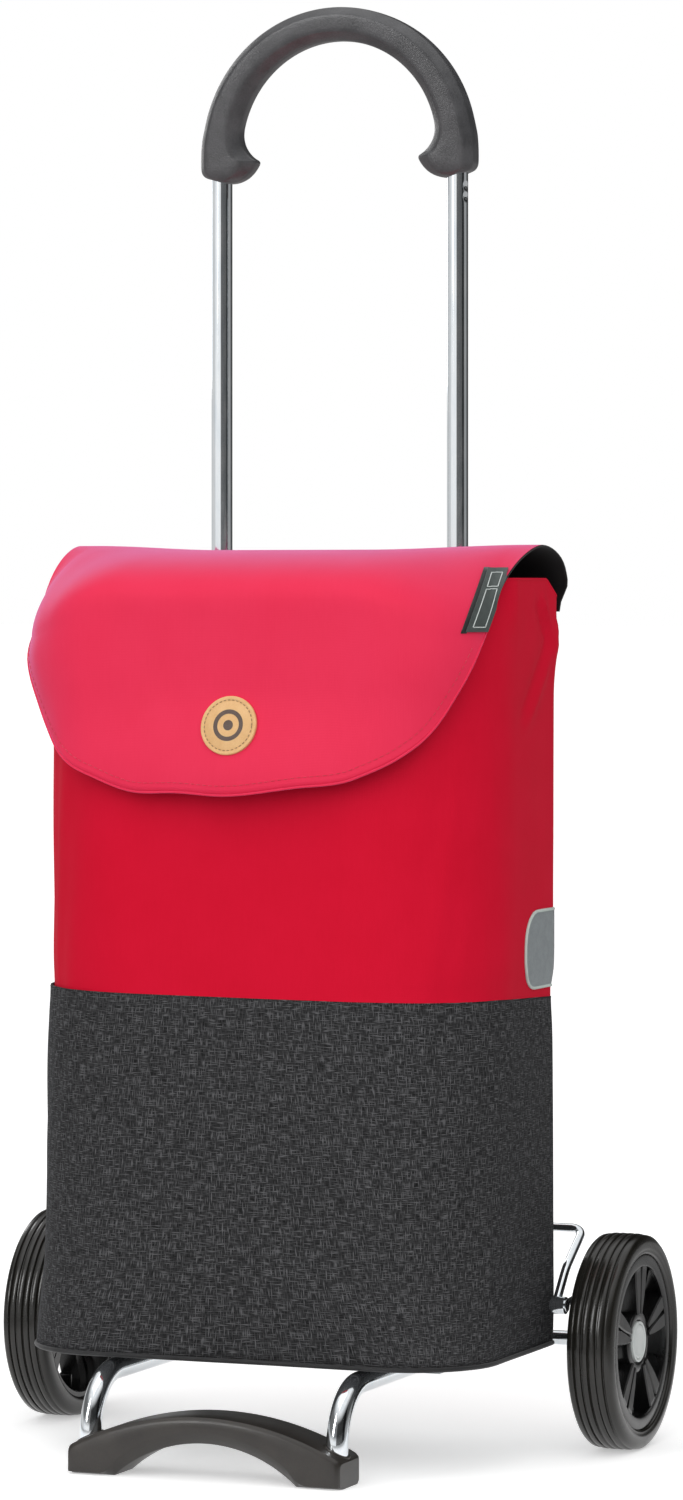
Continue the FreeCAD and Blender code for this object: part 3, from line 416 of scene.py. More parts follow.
# Pressed fibre board in the bag's base: flecked dark sheet.
fibreBoard = grainFinish("fibreBoard", 1.2, 0.1, (0.7, 0.85), ("#17171A", "#26262A"), 8.0, IOR=1.46)
# Nickel-plated magnet cup: small and bright.
nickelPlate = grainFinish("nickelPlate", 0.8, 0.02, (0.18, 0.28), ("#B9B6AE", "#CFCCC4"), 6.0, Metallic=1.0)
# Black nylon lining: thin, faint gloss.
liningCloth = grainFinish("liningNylon", 1.0, 0.08, (0.55, 0.7), ("#070607", "#0E0C0E"), 25.0,
                          IOR=1.5, Sheen_Weight=0.1, Specular_IOR_Level=0.3)
# Black corded piping: ribbed tape over cord.
pipingTape = grainFinish("pipingTape", 0.9, 0.15, (0.6, 0.8), ("#101012", "#1E1E20"), 12.0,
                         IOR=1.5, Sheen_Weight=0.2)
# Pale woven edging round the reflective film.
edgingTape = grainFinish("edgingTape", 0.8, 0.12, (0.6, 0.75), ("#B4C0BA", "#C4CFC9"), 6.0,
                         IOR=1.5, Sheen_Weight=0.2)
# Vegetable-tanned leather badge: warm tan with fine pores and a dull surface.
tanLeather = grainFinish("tanLeather", 0.8, 0.15, (0.5, 0.62), ("#D6A76F", "#E6BC87"), 9.0,
                         IOR=1.45, Specular_IOR_Level=0.4)
# Brown print pressed into the leather: flat and a little rougher.
brownPrint = grainFinish("brownPrint", 0.8, 0.1, (0.55, 0.7), ("#54453D", "#665650"), 7.0, IOR=1.45)
# Waxed tan thread round the badge, and red thread in the flap's hem: soft, with a faint fuzz.
tanThread = grainFinish("tanThread", 0.4, 0.08, (0.6, 0.7), ("#8E6E48", "#A58359"), 4.0,
                        IOR=1.5, Sheen_Weight=0.3)
redThread = grainFinish("redThread", 0.4, 0.08, (0.6, 0.7), ("#C8203C", "#D93550"), 4.0,
                        IOR=1.5, Sheen_Weight=0.3)
# Woven label: grey-green satin ground, with pale woven lines.
wovenLabel = grainFinish("wovenLabel", 0.6, 0.1, (0.55, 0.7), ("#343C3A", "#434C4A"), 5.0,
                         IOR=1.5, Sheen_Weight=0.2)
paleThread = grainFinish("paleThread", 0.5, 0.06, (0.6, 0.7), ("#B9C0BE", "#D3D9D6"), 4.0,
                         IOR=1.5, Sheen_Weight=0.3)


bandsPerUnit = 3.1415  # of the wave texture at scale 1, nearly


def weaveHeight(tree, pitchMm):  # plain weave: warp over weft in turn, as a height from 0 to 1
    heights = []
    for way in ("X", "Y"):
        place = clothPlace(tree, pitchMm * bandsPerUnit, pitchMm * bandsPerUnit)
        bands = addNode(tree, "TexWave", {"wave_type": "BANDS", "bands_direction": way},
                        {"Vector": place, "Scale": 1.0, "Distortion": 0.6})
        heights.append(bands.outputs["Fac"])
    return calculate(tree, "MULTIPLY", *heights)


def redCloth(name, colours, **values):
    # Coated polyester plain weave, thread pitch 0.5 mm, drawn at 1.1 mm so that it shows.
    material, tree, shader = startMaterial(name, IOR=1.5, Sheen_Roughness=0.4, **values)
    cloudy = addNoise(tree, clothPlace(tree, 40.0, 40.0), 3.0).outputs
    streak = addNoise(tree, clothPlace(tree, 1.3, 12.0), 2.0).outputs
    mixed = mixColours(tree, 0.3, cloudy["Color"], streak["Color"])
    tint = rampColours(tree, mixed, [(0.32, colours[0]), (0.68, colours[1])])
    tree.links.new(tint, shader.inputs["Base Color"])
    tree.links.new(spread(tree, cloudy["Fac"], 0.0, 1.0, 0.58, 0.72), shader.inputs["Roughness"])
    addBump(tree, shader, weaveHeight(tree, 1.1), 0.16, 0.25)
    return material


# The flap's cloth faces the sky, so its coating shows a pink bloom; its base red is painted lighter than the
# bag's deeper red, as painted light from above.
litFlapCloth = redCloth("litCoatedRedPolyester", ("#E3244A", "#E72A50"), Sheen_Weight=0.62, Sheen_Tint="#EAB0F4",
                     Specular_IOR_Level=0.24)
bagCloth = redCloth("deepRedPolyester", ("#CC0E2C", "#D21131"), Sheen_Weight=0.03, Sheen_Tint="#FF5078",
                    Specular_IOR_Level=0.06)


def makeMelange():
    # Melange canvas: mixed black and grey yarns, slubs drawn 0.65 mm thick and up to 7 mm long both ways.
    material, tree, shader = startMaterial("melangeCanvas", IOR=1.5, Sheen_Weight=0.04, Sheen_Roughness=0.4,
                                           Sheen_Tint="#B8BCC4", Specular_IOR_Level=0.12, Roughness=0.85)
    tones = []
    for size in ((0.65, 7.0), (7.0, 0.65)):
        slub = addNoise(tree, clothPlace(tree, *size), 1.0).outputs["Fac"]
        tones.append(rampColours(tree, slub, [(0.37, 0.05), (0.71, 1.0)]))
    crossed = mixColours(tree, 1.0, *tones, "LIGHTEN")
    worn = addNoise(tree, clothPlace(tree, 30.0, 30.0), 3.0).outputs["Color"]
    yarns = rampColours(tree, mixColours(tree, 0.12, crossed, worn), [
        (0.08, "#151516"), (0.30, "#202021"), (0.60, "#353536"), (0.95, "#606062")])
    tree.links.new(yarns, shader.inputs["Base Color"])
    addBump(tree, shader, weaveHeight(tree, 1.2), 0.15, 0.3)
    return material


def makeFilm():
    # Grey retro-reflective film under clear glass beads: cool grey with a fine glint.
    material, tree, shader = startMaterial("reflectiveFilm", IOR=1.55, Coat_Weight=0.25, Coat_Roughness=0.3,
                                           Metallic=0.15, Roughness=0.45)
    place = surfacePlace(tree, 1000 / 900)
    beads = addNode(tree, "TexVoronoi", inputs={"Vector": place, "Scale": 1.0}).outputs["Color"]
    slow = addNoise(tree, surfacePlace(tree, 1000 / 150)).outputs["Color"]
    mixed = mixColours(tree, 0.25, slow, beads)
    tint = rampColours(tree, mixed, [(0.3, "#7F8689"), (0.7, "#90979A")])
    tree.links.new(tint, shader.inputs["Base Color"])
    return material


melangeCloth = makeMelange()
reflectiveFilm = makeFilm()
print("finishes ready")


# nodes that keep their shape

keptFinishes = (
    (chromeSteel, "axle wire_bow bow_link_left bow_link_right bow_rivets"),
    (zincSteel, "upright_eye_left upright_eye_right handle_pins hanger_bar hanger_rivets stand_bracket_left "
                "stand_bracket_right stand_rivets foot_pins hook_rivets"),
    (nylonBush, "axle_spacers wheel_left_bush wheel_right_bush"),
    (rimPlastic, "hanging_hook_left hanging_hook_right"),
    (nickelPlate, "bag_magnet flap_magnet"),
    (fibreBoard, "base_board"))
for finish, names in keptFinishes:
    for name in names.split():
        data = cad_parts[name].data
        data.materials.clear()
        data.materials.append(finish)

sides = (("left", -1), ("right", 1))


# uprights

# Two crimps near each tube's top hold the handle's sleeve. "crimpTurn" is the way they face, in degrees.
upright = {"radius": 7.5, "wall": 1.2, "boreDepth": 12.0, "segments": 64, "plain": 860.0,
           "crimped": (862.0, 894.0), "crimpDepth": 1.7, "crimpRadius": 2.4, "crimpHeights": (884.0, 876.5),
           "crimpTurn": {-1: 195.0, 1: -14.0}}


def crimpedRadius(t, z, side):
    radius = upright["radius"]
    turn = (t - math.radians(upright["crimpTurn"][side]) + math.pi) % (2 * math.pi) - math.pi
    for height in upright["crimpHeights"]:
        away = math.hypot(z - height, turn * radius)
        radius -= upright["crimpDepth"] * math.exp(-(away / upright["crimpRadius"]) ** 2 * 1.6)
    return radius


def makeUpright(name, side):
    low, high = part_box("upright_tube_" + name)
    x, y = (low.x + high.x) / 2 / mm, (low.y + high.y) / 2 / mm
    bottom, top = low.z / mm, high.z / mm
    count, inner = upright["segments"], upright["radius"] - upright["wall"]
    heights = [bottom, bottom + 1] + list(np.arange(bottom + 20, upright["plain"], 40.0))
    heights += list(np.arange(*upright["crimped"], 1.0)) + [top]
    turns = [2 * math.pi * k / count for k in range(count)]
    rows = [[(crimpedRadius(t, z, side), t, z) for t in turns] for z in heights]
    bore = [[(inner, t, z) for t in turns] for z in (bottom + upright["boreDepth"], bottom)]
    points = [(x + r * math.cos(t), y + r * math.sin(t), z) for row in bore + rows for r, t, z in row]
    faces = gridFaces(len(bore + rows), count, True) + endCaps(len(bore + rows), count)[1:]
    piece = makePiece("upright_" + name, points, faces, chromeSteel, "frame",
                      ["upright_tube_" + name])
    sharpen(piece, 40)


for name, side in sides:
    makeUpright(name, side)
print("uprights made")


# handle

# The lower end's slices, from the tip of the spur round to the ring: inner point, outer point
# (distance from the middle, height) and half depth.
handle = {"ringOuter": 103.7, "ringInner": 76.0, "centreZ": 910.5, "innerCentreZ": 914.0, "halfDepth": 13.0,
          "chamfers": ((6.0, 6.5), (10.5, 9.0)), "firstDegrees": 10, "stepDegrees": 4.5,
          "spur": [((88.0, 890.9), (91.5, 892.3), 6.5), ((83.0, 890.3), (96.5, 893.5), 9.0),
                   ((77.5, 891.0), (100.0, 894.3), 10.8), ((71.5, 893.4), (102.4, 895.6), 12.0),
                   ((66.4, 897.6), (103.8, 897.8), 12.7), ((62.9, 902.6), (104.4, 900.4), 13.0),
                   ((61.6, 905.4), (104.5, 903.2), 13.0), ((62.6, 907.0), (104.5, 905.6), 13.0),
                   ((65.6, 908.4), (104.5, 908.4), 13.0), ((69.2, 911.6), (104.4, 912.6), 13.0),
                   ((72.4, 916.0), (104.1, 917.6), 13.0), ((74.4, 921.0), (103.5, 922.8), 13.0)]}


def onCircle(radius, turn, height):
    return radius * math.cos(turn), height + radius * math.sin(turn)


def handleSlices():  # from the right spur over the ring to the left spur
    span = 180 - 2 * handle["firstDegrees"]
    steps = int(span / handle["stepDegrees"])
    ring = []
    for k in range(steps + 1):
        t = math.radians(handle["firstDegrees"] + span * k / steps)
        ring.append((onCircle(handle["ringInner"], t, handle["innerCentreZ"]),
                     onCircle(handle["ringOuter"], t, handle["centreZ"]), handle["halfDepth"]))
    left = [((-a[0], a[1]), (-b[0], b[1]), d) for a, b, d in reversed(handle["spur"])]
    return handle["spur"] + ring + left


def makeHandle():
    points = []
    slices = handleSlices()
    for inner, outer, halfDepth in slices:
        inner, outer = np.array(inner), np.array(outer)
        width = np.linalg.norm(outer - inner)
        half, way, middle = width / 2, (outer - inner) / width, (outer + inner) / 2
        corners = []
        for across, deep in handle["chamfers"]:  # outside first, then the softer inside
            c, d = min(across, half * 0.55), min(deep, halfDepth * 0.62)
            corners.append([(half, halfDepth - d - 0.8), (half - 0.1 * c, halfDepth - 0.86 * d),
                            (half - 0.88 * c, halfDepth - 0.12 * d), (half - 1.1 * c, halfDepth)])
        outside, inside = corners
        section = outside + [(-a, b) for a, b in reversed(inside)]
        section += [(-a, -b) for a, b in inside] + [(a, -b) for a, b in reversed(outside)]
        for a, b in section:
            spot = middle + way * a
            points.append((spot[0], axleY + b, spot[1]))
    count = len(points) // len(slices)
    faces = gridFaces(len(slices), count, True) + endCaps(len(slices), count)
    piece = makePiece("handle_moulding", points, faces, softTouchPlastic, "frame",
                      ["handle_grip"])
    applyModifier(piece, "SUBSURF", levels=2, render_levels=2)


makeHandle()
print("handle made")


# folding stand and foot

# Distances along the stand are from the axle.
stand = {"radius": 7.5, "bend": 40.0, "rear": -32.0, "front": -227.0, "runZ": 64.2, "low": 7.5, "x": 90.5,
         "collarRadius": 8.3, "collarWire": 0.9}
foot = {"half": 99.5, "midTop": 43.5, "endTop": 19.0, "arch": 25.0, "pad": 66.5, "bevel": 2.4, "under": 8.5,
        "endBevel": 3.0}


def archHeight(x, half, middle, end):  # arc through its middle and both ends
    height = middle - end
    radius = (half ** 2 + height ** 2) / (2 * height)
    return middle - radius + math.sqrt(radius ** 2 - x ** 2)


def footTop(x):
    return archHeight(min(abs(x), foot["half"]), foot["half"], foot["midTop"], foot["endTop"])


def footUnder(x):
    return 0.0 if abs(x) >= foot["pad"] else archHeight(x, foot["pad"], foot["arch"], 0.0)


def footSection(x, front, back):  # (y, height) round the foot at x
    inset = max(0.0, foot["endBevel"] - (foot["half"] - abs(x)))
    inset = foot["endBevel"] - math.sqrt(max(0.0, foot["endBevel"] ** 2 - inset ** 2))
    top, under, bevel = footTop(x) - inset * 0.6, footUnder(x), foot["bevel"]
    edge = under + foot["under"] * (1 - 0.75 * smoothStep((abs(x) - 60) / 16))
    f, b = front + inset, back - inset
    return [(b, top - bevel), (b - 0.9, top - 0.9), (b - bevel, top), (f + bevel + 3, top),
            (f + bevel, top - 0.3), (f + 0.9, top - bevel + 0.6), (f, top - bevel - 1.4), (f, edge + 1),
            (f + 0.5, edge - 0.4), (f + 5.5, under + 0.7), (f + 7.0, under), (b - 4, under),
            (b - 2.5, under + 0.3), (b - 0.3, under + 2.2), (b, under + 4.0)]


def makeFoot():
    low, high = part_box("foot_arch")
    half = foot["half"]
    ends = [side * (half - inset) for side in (-1, 1) for inset in (0, 0.8, 2.2, 3.5)]
    stations = sorted(set(ends + [-foot["pad"], foot["pad"]] + list(np.linspace(-half + 6, half - 6, 61))))
    points = [(x, y, z) for x in stations for y, z in footSection(x, low.y / mm, high.y / mm)]
    count = len(points) // len(stations)
    faces = gridFaces(len(stations), count, True) + endCaps(len(stations), count, True)
    piece = makePiece("foot_moulding", points, faces, footPlastic, "undercarriage",
                      ["foot_arch"], flip=True)
    sharpen(piece, 34)


def makeStandLeg(name, side):
    x, y = side * stand["x"], axleY + stand["front"]
    corners = [(x, axleY + stand["rear"], stand["runZ"]), (x, y, stand["runZ"]), (x, y, stand["low"])]
    points, faces = sweep(roundedPath(corners, [stand["bend"]], 2.0), stand["radius"], 48)
    piece = makePiece("stand_leg_" + name, points, faces, chromeSteel, "undercarriage",
                      ["stand_tube_" + name])
    sharpen(piece, 40)


def makeFootLip(name, side):  # rounded lip where a leg enters the foot
    x, y, r = side * stand["x"], axleY + stand["front"], stand["collarRadius"]
    ring = [(x + r * math.cos(t), y + r * math.sin(t), footTop(x + r * math.cos(t)) + 0.1)
            for t in np.linspace(0, 2 * math.pi, 40, endpoint=False)]
    points, faces = sweep(ring, stand["collarWire"], 10, True)
    makePiece("foot_lip_" + name, points, faces, footPlastic, "undercarriage")


for name, side in sides:
    makeStandLeg(name, side)
makeFoot()
for name, side in sides:
    makeFootLip(name, side)
print("stand and foot made")


# wheels

# Built at the right side and mirrored. "face" and "hubFace" are measured in from the tyre's outer side.
wheel = {"outer": 231.0, "width": 34.0, "radius": 75.0, "rim": 61.0, "hub": 21.5, "face": 2.5, "hubFace": 5.5,
         "hubBack": 1.0, "pairs": 5, "segments": 120, "smallSegments": 72,
         "groove": 1.5, "grooveHalf": 0.7, "grooves": (-10.4, -5.2, 0.0, 5.2, 10.4), "ribCrown": 0.14,
         "treadHalf": 13.0, "shoulderDrop": 0.9, "catchX": 19.6, "catchRadius": 0.9, "buttonBack": 8.7}
rimFace = wheel["outer"] - wheel["face"]
rimBack = wheel["outer"] - wheel["width"] + wheel["face"]
hubFace = wheel["outer"] - wheel["hubFace"]


def lathe(profile, segments, looped=True):  # spin (x, radius) points about the axle
    points = []
    for x, radius in profile:
        for k in range(segments):
            t = 2 * math.pi * k / segments
            points.append((x, axleY + radius * math.cos(t), axleZ + radius * math.sin(t)))
    return points, gridFaces(len(profile), segments, True, looped)


def tyrePart():
    inside = [(-15.4, 61.0), (-16.4, 61.6), (-16.8, 62.8), (-17.0, 64.6), (-17.0, 68.0), (-16.6, 70.6),
              (-15.6, 72.6), (-14.2, 73.9)]
    outside = [(14.2, 73.9), (15.6, 72.4), (16.5, 70.2), (16.9, 67.4), (16.6, 64.4), (15.9, 63.2),
               (16.0, 62.4), (15.5, 61.5), (14.8, 61.0)]
    half, pitch = wheel["treadHalf"], wheel["grooves"][-1] / 4
    tread = []
    for x in np.arange(-half, half + 0.01, 0.5):
        dip = max(wheel["groove"] * math.exp(-((x - g) / wheel["grooveHalf"]) ** 4) for g in wheel["grooves"])
        rib = wheel["ribCrown"] * (1 - math.cos(math.pi * (x + pitch) / pitch))
        dip = max(dip, rib if abs(x) < half - 0.6 else 0.0)  # each rib is slightly crowned
        tread.append((x, wheel["radius"] - wheel["shoulderDrop"] * (abs(x) / half) ** 4 - dip))
    middle = wheel["outer"] - wheel["width"] / 2
    return lathe([(middle + x, r) for x, r in inside + tread + outside], wheel["segments"])


def bladePart(stations, turn):  # a bar along the wheel's radius; each station is (radius, lean, section)
    points = []
    for radius, lean, section in stations:
        c, s = math.cos(turn + lean), math.sin(turn + lean)
        points += [(x, axleY + radius * c - a * s, axleZ + radius * s + a * c) for x, a in section]
    count = len(stations[0][2])
    return points, flipped(gridFaces(len(stations), count, True)) + endCaps(len(stations), count, True)


def spokePart(turn, lean):  # a kite-shaped blade with bevelled face, hub to barrel
    stations = []
    for radius, degrees, half, drop in ((19.5, 8.0, 1.7, 1.5), (24.0, 7.9, 2.6, 1.5), (32.0, 7.6, 3.9, 1.2),
                                        (41.0, 7.4, 4.9, 1.0), (50.0, 7.3, 5.3, 0.8), (57.6, 7.3, 5.4, 0.6)):
        front = rimFace - drop
        section = [(front - 15, -half + 0.4), (front - 0.9, -half), (front, -half + 0.9),
                   (front, half - 0.9), (front - 0.9, half), (front - 15, half - 0.4)]
        stations.append((radius, lean * math.radians(degrees), section))
    return bladePart(stations, turn)


def finPart(turn):  # thin stiffening fin inside the barrel
    low, high = rimFace - 19, rimFace - 7
    stations = []
    for radius, half in ((46.0, 0.25), (46.6, 0.7), (57.4, 0.7)):
        stations.append((radius, 0.0, [(low, -half), (high, -half), (high, half), (low, half)]))
    return bladePart(stations, turn)


def rimPart():
    rim, hub, low = wheel["rim"], wheel["hub"], wheel["outer"] - wheel["width"] - wheel["hubBack"]
    barrel = [(rimBack, rim), (rimBack, 57.6), (rimBack + 0.6, 57.0), (rimFace - 6, 57.0),
              (rimFace - 4.4, 56.6), (rimFace - 4.0, 55.6), (rimFace - 3.6, 53.0), (rimFace - 1.2, 52.3),
              (rimFace - 0.3, 52.7), (rimFace, 53.6), (rimFace, 59.6), (rimFace - 0.3, 60.5),
              (rimFace - 1.1, rim)]
    core = [(low, 8.2), (low, 15.0), (low + 1, 15.6), (low + 12, 18.6), (hubFace - 6, 21.0),
            (hubFace - 1.4, hub), (hubFace - 0.5, 21.1), (hubFace, 20.2), (hubFace, 16.4),
            (hubFace - 0.6, 15.2), (hubFace - 1.6, 14.6), (hubFace - 9, 14.4), (hubFace - 9.5, 8.2)]
    parts = [lathe(barrel, wheel["segments"]), lathe(core, wheel["segments"])]
    for pair in range(wheel["pairs"]):
        turn = math.radians(90 + pair * 360 / wheel["pairs"])
        parts += [spokePart(turn, -1), spokePart(turn, 1)]
        parts.append(finPart(turn + math.pi / wheel["pairs"]))
    return joinParts(parts)


def capRingPart():
    profile = [(-9.5, 14.2), (-9.5, 12.2), (-0.2, 12.2), (0.5, 12.4), (0.8, 12.9), (0.8, 13.6), (0.5, 14.1),
               (-0.2, 14.2)]
    return lathe([(hubFace + x, r) for x, r in profile], wheel["smallSegments"])


def buttonPart():  # dished face with a raised edge
    low = wheel["outer"] - wheel["buttonBack"]
    profile = [(-0.5, 12.0), (0.2, 11.6), (0.5, 10.8), (0.5, 9.8), (0.2, 9.1), (0.05, 8.4), (0.1, 4.0),
               (0.2, 0.01)]
    return lathe([(low, 0.01), (low, 12.0)] + [(hubFace + x, r) for x, r in profile], wheel["smallSegments"],
                 False)


def catchPart():  # spring wire past the axle, seen through a window between spokes
    corners = [(-4.95, -7), (-4.95, 9), (13, 11), (29, 21), (33, 27)]
    path = roundedPath([(wheel["outer"] - wheel["catchX"], axleY + y, axleZ + z) for y, z in corners],
                       [3.0, 4.0, 3.0], 0.6)
    return sweep(path, wheel["catchRadius"], 12)


# Painted highlight: the spokes' outward faces take the lighter plastic, standing in for the light they catch.
def markLitSpokeFaces(piece):
    piece.data.materials.append(litSpokePlastic)
    for polygon in piece.data.polygons:
        spot = polygon.center
        reach = math.hypot(spot.y - axleY * mm, spot.z - axleZ * mm) / mm
        if abs(polygon.normal.x) > 0.9 and wheel["hub"] < reach < 52 and abs(spot.x) > hubFace * mm:
            polygon.material_index = 1


wheelParts = (("tyre", tyrePart(), tyreRubber, "tyre_rubber", 50),
              ("rim", rimPart(), rimPlastic, "rim_plastic", 32),
              ("cap_ring", capRingPart(), hubPlastic, "hub_plastic", 50),
              ("catch", catchPart(), chromeSteel, "plated_strip", 60),
              ("button", buttonPart(), hubPlastic, "hub_plastic", 50))
for name, side in sides:
    for kind, part, finish, slot, crisp in wheelParts:
        points, faces = part if side > 0 else mirrorX(part)
        if kind == "button":
            names = ("push_button_" + name, "button_" + name, "hub_button_" + name)
        else:
            names = ("wheel_" + name + "_" + kind + "_made", "wheel_" + name, "wheel_" + name + "_" + kind)
        piece = makePiece(names[0], points, faces, finish, names[1], [names[2]])
        sharpen(piece, crisp)
        if kind == "rim":
            markLitSpokeFaces(piece)
print("wheels made")


# bag

# y from the axle. Each section is height, front corner radius and half width.
bag = {"back": -16.0, "front": -191.0, "bottom": 72.0, "hem": 74.5, "seam": 321.4, "rim": 607.0,
       "backCorner": 7.0, "wall": 1.6, "middleY": -103.0, "liningGap": 3.4, "liningLow": 79.2,
       "sections": ((72.0, 60.0, 168.0), (132.0, 76.0, 167.0), (319.2, 92.0, 166.0), (607.0, 92.0, 167.0)),
       "rowStep": 6.0, "backCount": 28, "sideCount": 26, "cornerCount": 22, "smallCount": 6, "frontCount": 17}
# Creases on the right side, near the rim's back. Each runs along y + lean * (z - 600) + offset = 0, is
# drawn at a scale, fades in and out between heights, and is a ridge with a valley beside it.
creases = ({"lean": 0.90, "offset": 57, "scale": 1.35, "fadeIn": (556, 10), "fadeOut": (586, 10),
            "ridge": (2.8, 0, 4), "valley": (2.4, -7.5, 5)},
           {"lean": -1.01, "offset": -16, "scale": 1.42, "fadeIn": (500, 20), "fadeOut": (560, 8),
            "ridge": (2.4, 0, 5), "valley": (2.2, -9, 6)})
# Softer folds on the left side: size, y and width.
leftFolds = ((-2.0, -70, 10), (1.4, -50, 9))


def bagSection(z):  # front corner radius and half width at a height
    rows = bag["sections"]
    for (z0, c0, h0), (z1, c1, h1) in zip(rows, rows[1:]):
        if z <= z1:
            break
    t = max(0.0, min(1.0, (z - z0) / (z1 - z0)))
    return c0 + (c1 - c0) * t, h0 + (h1 - h0) * t


def bagPlan(z):  # outline at a height from the middle of the back, with outward normals
    corner, half = bagSection(z)
    small, back, front = bag["backCorner"], bag["back"], bag["front"]
    quarter = math.pi / 2
    spots = []
    for t in np.linspace(0, 1, bag["backCount"], endpoint=False):
        spots.append((t * (half - small), back, 0, 1))
    for t in np.linspace(0, quarter, bag["smallCount"], endpoint=False):
        s, c = math.sin(t), math.cos(t)
        spots.append((half - small + small * s, back - small + small * c, s, c))
    for t in np.linspace(0, 1, bag["sideCount"], endpoint=False):
        spots.append((half, back - small + t * (front + corner - back + small), 1, 0))
    for t in np.linspace(0, quarter, bag["cornerCount"], endpoint=False):
        s, c = math.sin(t), math.cos(t)
        spots.append((half - corner + corner * c, front + corner - corner * s, c, -s))
    for t in np.linspace(0, 1, bag["frontCount"], endpoint=False):
        spots.append(((1 - t) * (half - corner), front, 0, -1))
    rest = [(-x, y, -nx, ny) for x, y, nx, ny in reversed(spots[1:])]
    return np.array(spots + [(0.0, front, 0.0, -1.0)] + rest)


def creaseBulge(y, z):
    total = 0.0
    inward = 1 - 0.75 * smoothStep((y + 44) / 18)  # shallow near the back edge, which stays straight
    for crease in creases:
        across = (y + crease["lean"] * (z - 600) + crease["offset"]) / crease["scale"]
        weight = inward * rise(z, *crease["fadeIn"]) * (1 - rise(z, *crease["fadeOut"]))
        high, low = crease["ridge"], crease["valley"]
        total += weight * (high[0] * ridge(across, *high[1:]) - low[0] * ridge(across, *low[1:]))
    return total


def bagBulge(x, y, nx, ny, z):  # how far the cloth stands out from its pattern, in mm
    height = (z - bag["bottom"]) / (bag["rim"] - bag["bottom"])
    frontness = max(0.0, -ny)
    soft = 1.5 * noise.noise(Vector((x * 0.008, y * 0.008, z * 0.007 + 3.1)))
    soft += 0.55 * noise.noise(Vector((x * 0.022 + 9, y * 0.022, z * 0.012)))
    belly = math.sin(math.pi * min(1, height * 1.02)) * math.cos(min(1.5, abs(x * 0.012) * 0.72))
    soft += 2.4 * frontness * belly
    if nx > 0.6:
        soft += creaseBulge(y, z)
    if nx < -0.6:
        for size, place, width in leftFolds:
            soft += size * rise(z, 500, 90) * ridge(y - 0.2 * (z - 600), place, width)
    soft += 1.3 * abs(nx) * frontness * math.sin(z * 0.035 + x) * rise(z, 120, 100)
    if ny > 0.5:  # the back lies flat against the hooks
        soft *= 0.15
    return soft - ridge(z, bag["seam"], 16) * 0.9 - ridge(z, bag["bottom"], 10) * 0.5


def seamHeight(x, y):  # the seam climbs a little to the left and sinks on the right side
    rear = min(1.0, max(0.0, (y + 120) / 100)) * rise(x, 90, 60)
    return bag["seam"] - 0.010 * x - 0.6 * rise(x, 90, 70) - 3.8 * rear


def panelOut(nx, y, z, upper):  # the panels' fullness: wider at the sides, stepped where grey laps over red
    right, left = max(0.0, nx), max(0.0, -nx)
    if upper:
        flare = 3.2 * rise(z, 525, 50) * (1 - 0.7 * rise(z, 577, 15)) * smoothStep((y + 42) / 24)
        proud = 1.8 + 1.2 * smoothStep((z - bag["seam"] - 2) / 14)
        return 1.3 - 0.8 * smoothStep((bag["seam"] - 8 - z) / 2) + proud * right + flare * (right + left)
    share = (z - bag["bottom"]) / (bag["seam"] - bag["bottom"])
    return 1.8 + left * (0.6 + 2.2 * share) + right * 1.7 * share


def rimDrop(x, y):  # the rim dips behind the side panels and sags a little between corners
    slant = 12.0 * min(1.0, max(0.0, (y + 39) / 19)) * rise(abs(x), 118, 45)
    return slant + 1.5 * math.cos(x * 0.019) * ridge(y, -191, 40)


def bagSpot(x, y, nx, ny, z, grow, upper):  # a point on a panel, from its outline point and height
    out = grow + bagBulge(x, y, nx, ny, z) + panelOut(nx, y, z, upper)
    if upper:  # the front corners of the rim fold in under the flap
        out -= 11.0 * rise(z, 566, 41) * rise(abs(x), 88, 40) * rise(-y, 98, 30)
        lift = -rimDrop(x, y) * rise(z, 540, 67)
    else:
        lift = (seamHeight(x, y) - bag["seam"]) * (z - bag["bottom"]) / (bag["seam"] - bag["bottom"])
    return (x + nx * out, axleY + y + ny * out, z + lift)


def bagRing(z, out, upper):  # closed line round the bag at one height
    return [bagSpot(x, y, nx, ny, z, out, upper) for x, y, nx, ny in bagPlan(z)]


def bagShell(low, high, grow, step, upper):
    heights = list(np.arange(low, high, step)) + [high]
    flatPlan = bagPlan(300.0)[:, :2]
    run = np.concatenate([[0], np.cumsum(np.linalg.norm(np.diff(flatPlan, axis=0), axis=1))])
    points = [p for z in heights for p in bagRing(z, grow, upper)]
    return points, [(r, z) for z in heights for r in run], len(heights), len(run)


def makeShell(name, low, high, finish, replaces, upper):
    points, uvs, count, columns = bagShell(low, high, 0.0, bag["rowStep"], upper)
    inner, innerUvs, _, _ = bagShell(low, high, -bag["wall"], bag["rowStep"], upper)
    start, top = len(points), (count - 1) * columns
    faces = gridFaces(count, columns, True)
    faces += flipped(faces, start)
    for k in range(columns):
        n = (k + 1) % columns
        faces.append((top + k, top + n, start + top + n, start + top + k))
        faces.append((n, k, start + k, start + n))
    makePiece(name, points + inner, faces, finish, "bag", replaces, uvs + innerUvs, flip=True)


def makeBase():  # cloth under the bag, slightly crowned by the board
    middle = axleY + bag["middleY"]
    rings = [bagRing(bag["hem"], -0.4, False)]
    for share, z in ((0.97, 72.9), (0.9, 72.5), (0.7, 72.4), (0.4, 72.4), (0.1, 72.4)):
        rings.append([(p[0] * share, middle + (p[1] - middle) * share, z) for p in rings[0]])
    columns = len(rings[0])
    points = [p for ring in rings for p in ring]
    faces = gridFaces(len(rings), columns, True) + endCaps(len(rings), columns)[1:]
    makePiece("bag_base_cloth", points, faces, melangeCloth, "bag", [],
              [(p[0], p[1]) for p in points])


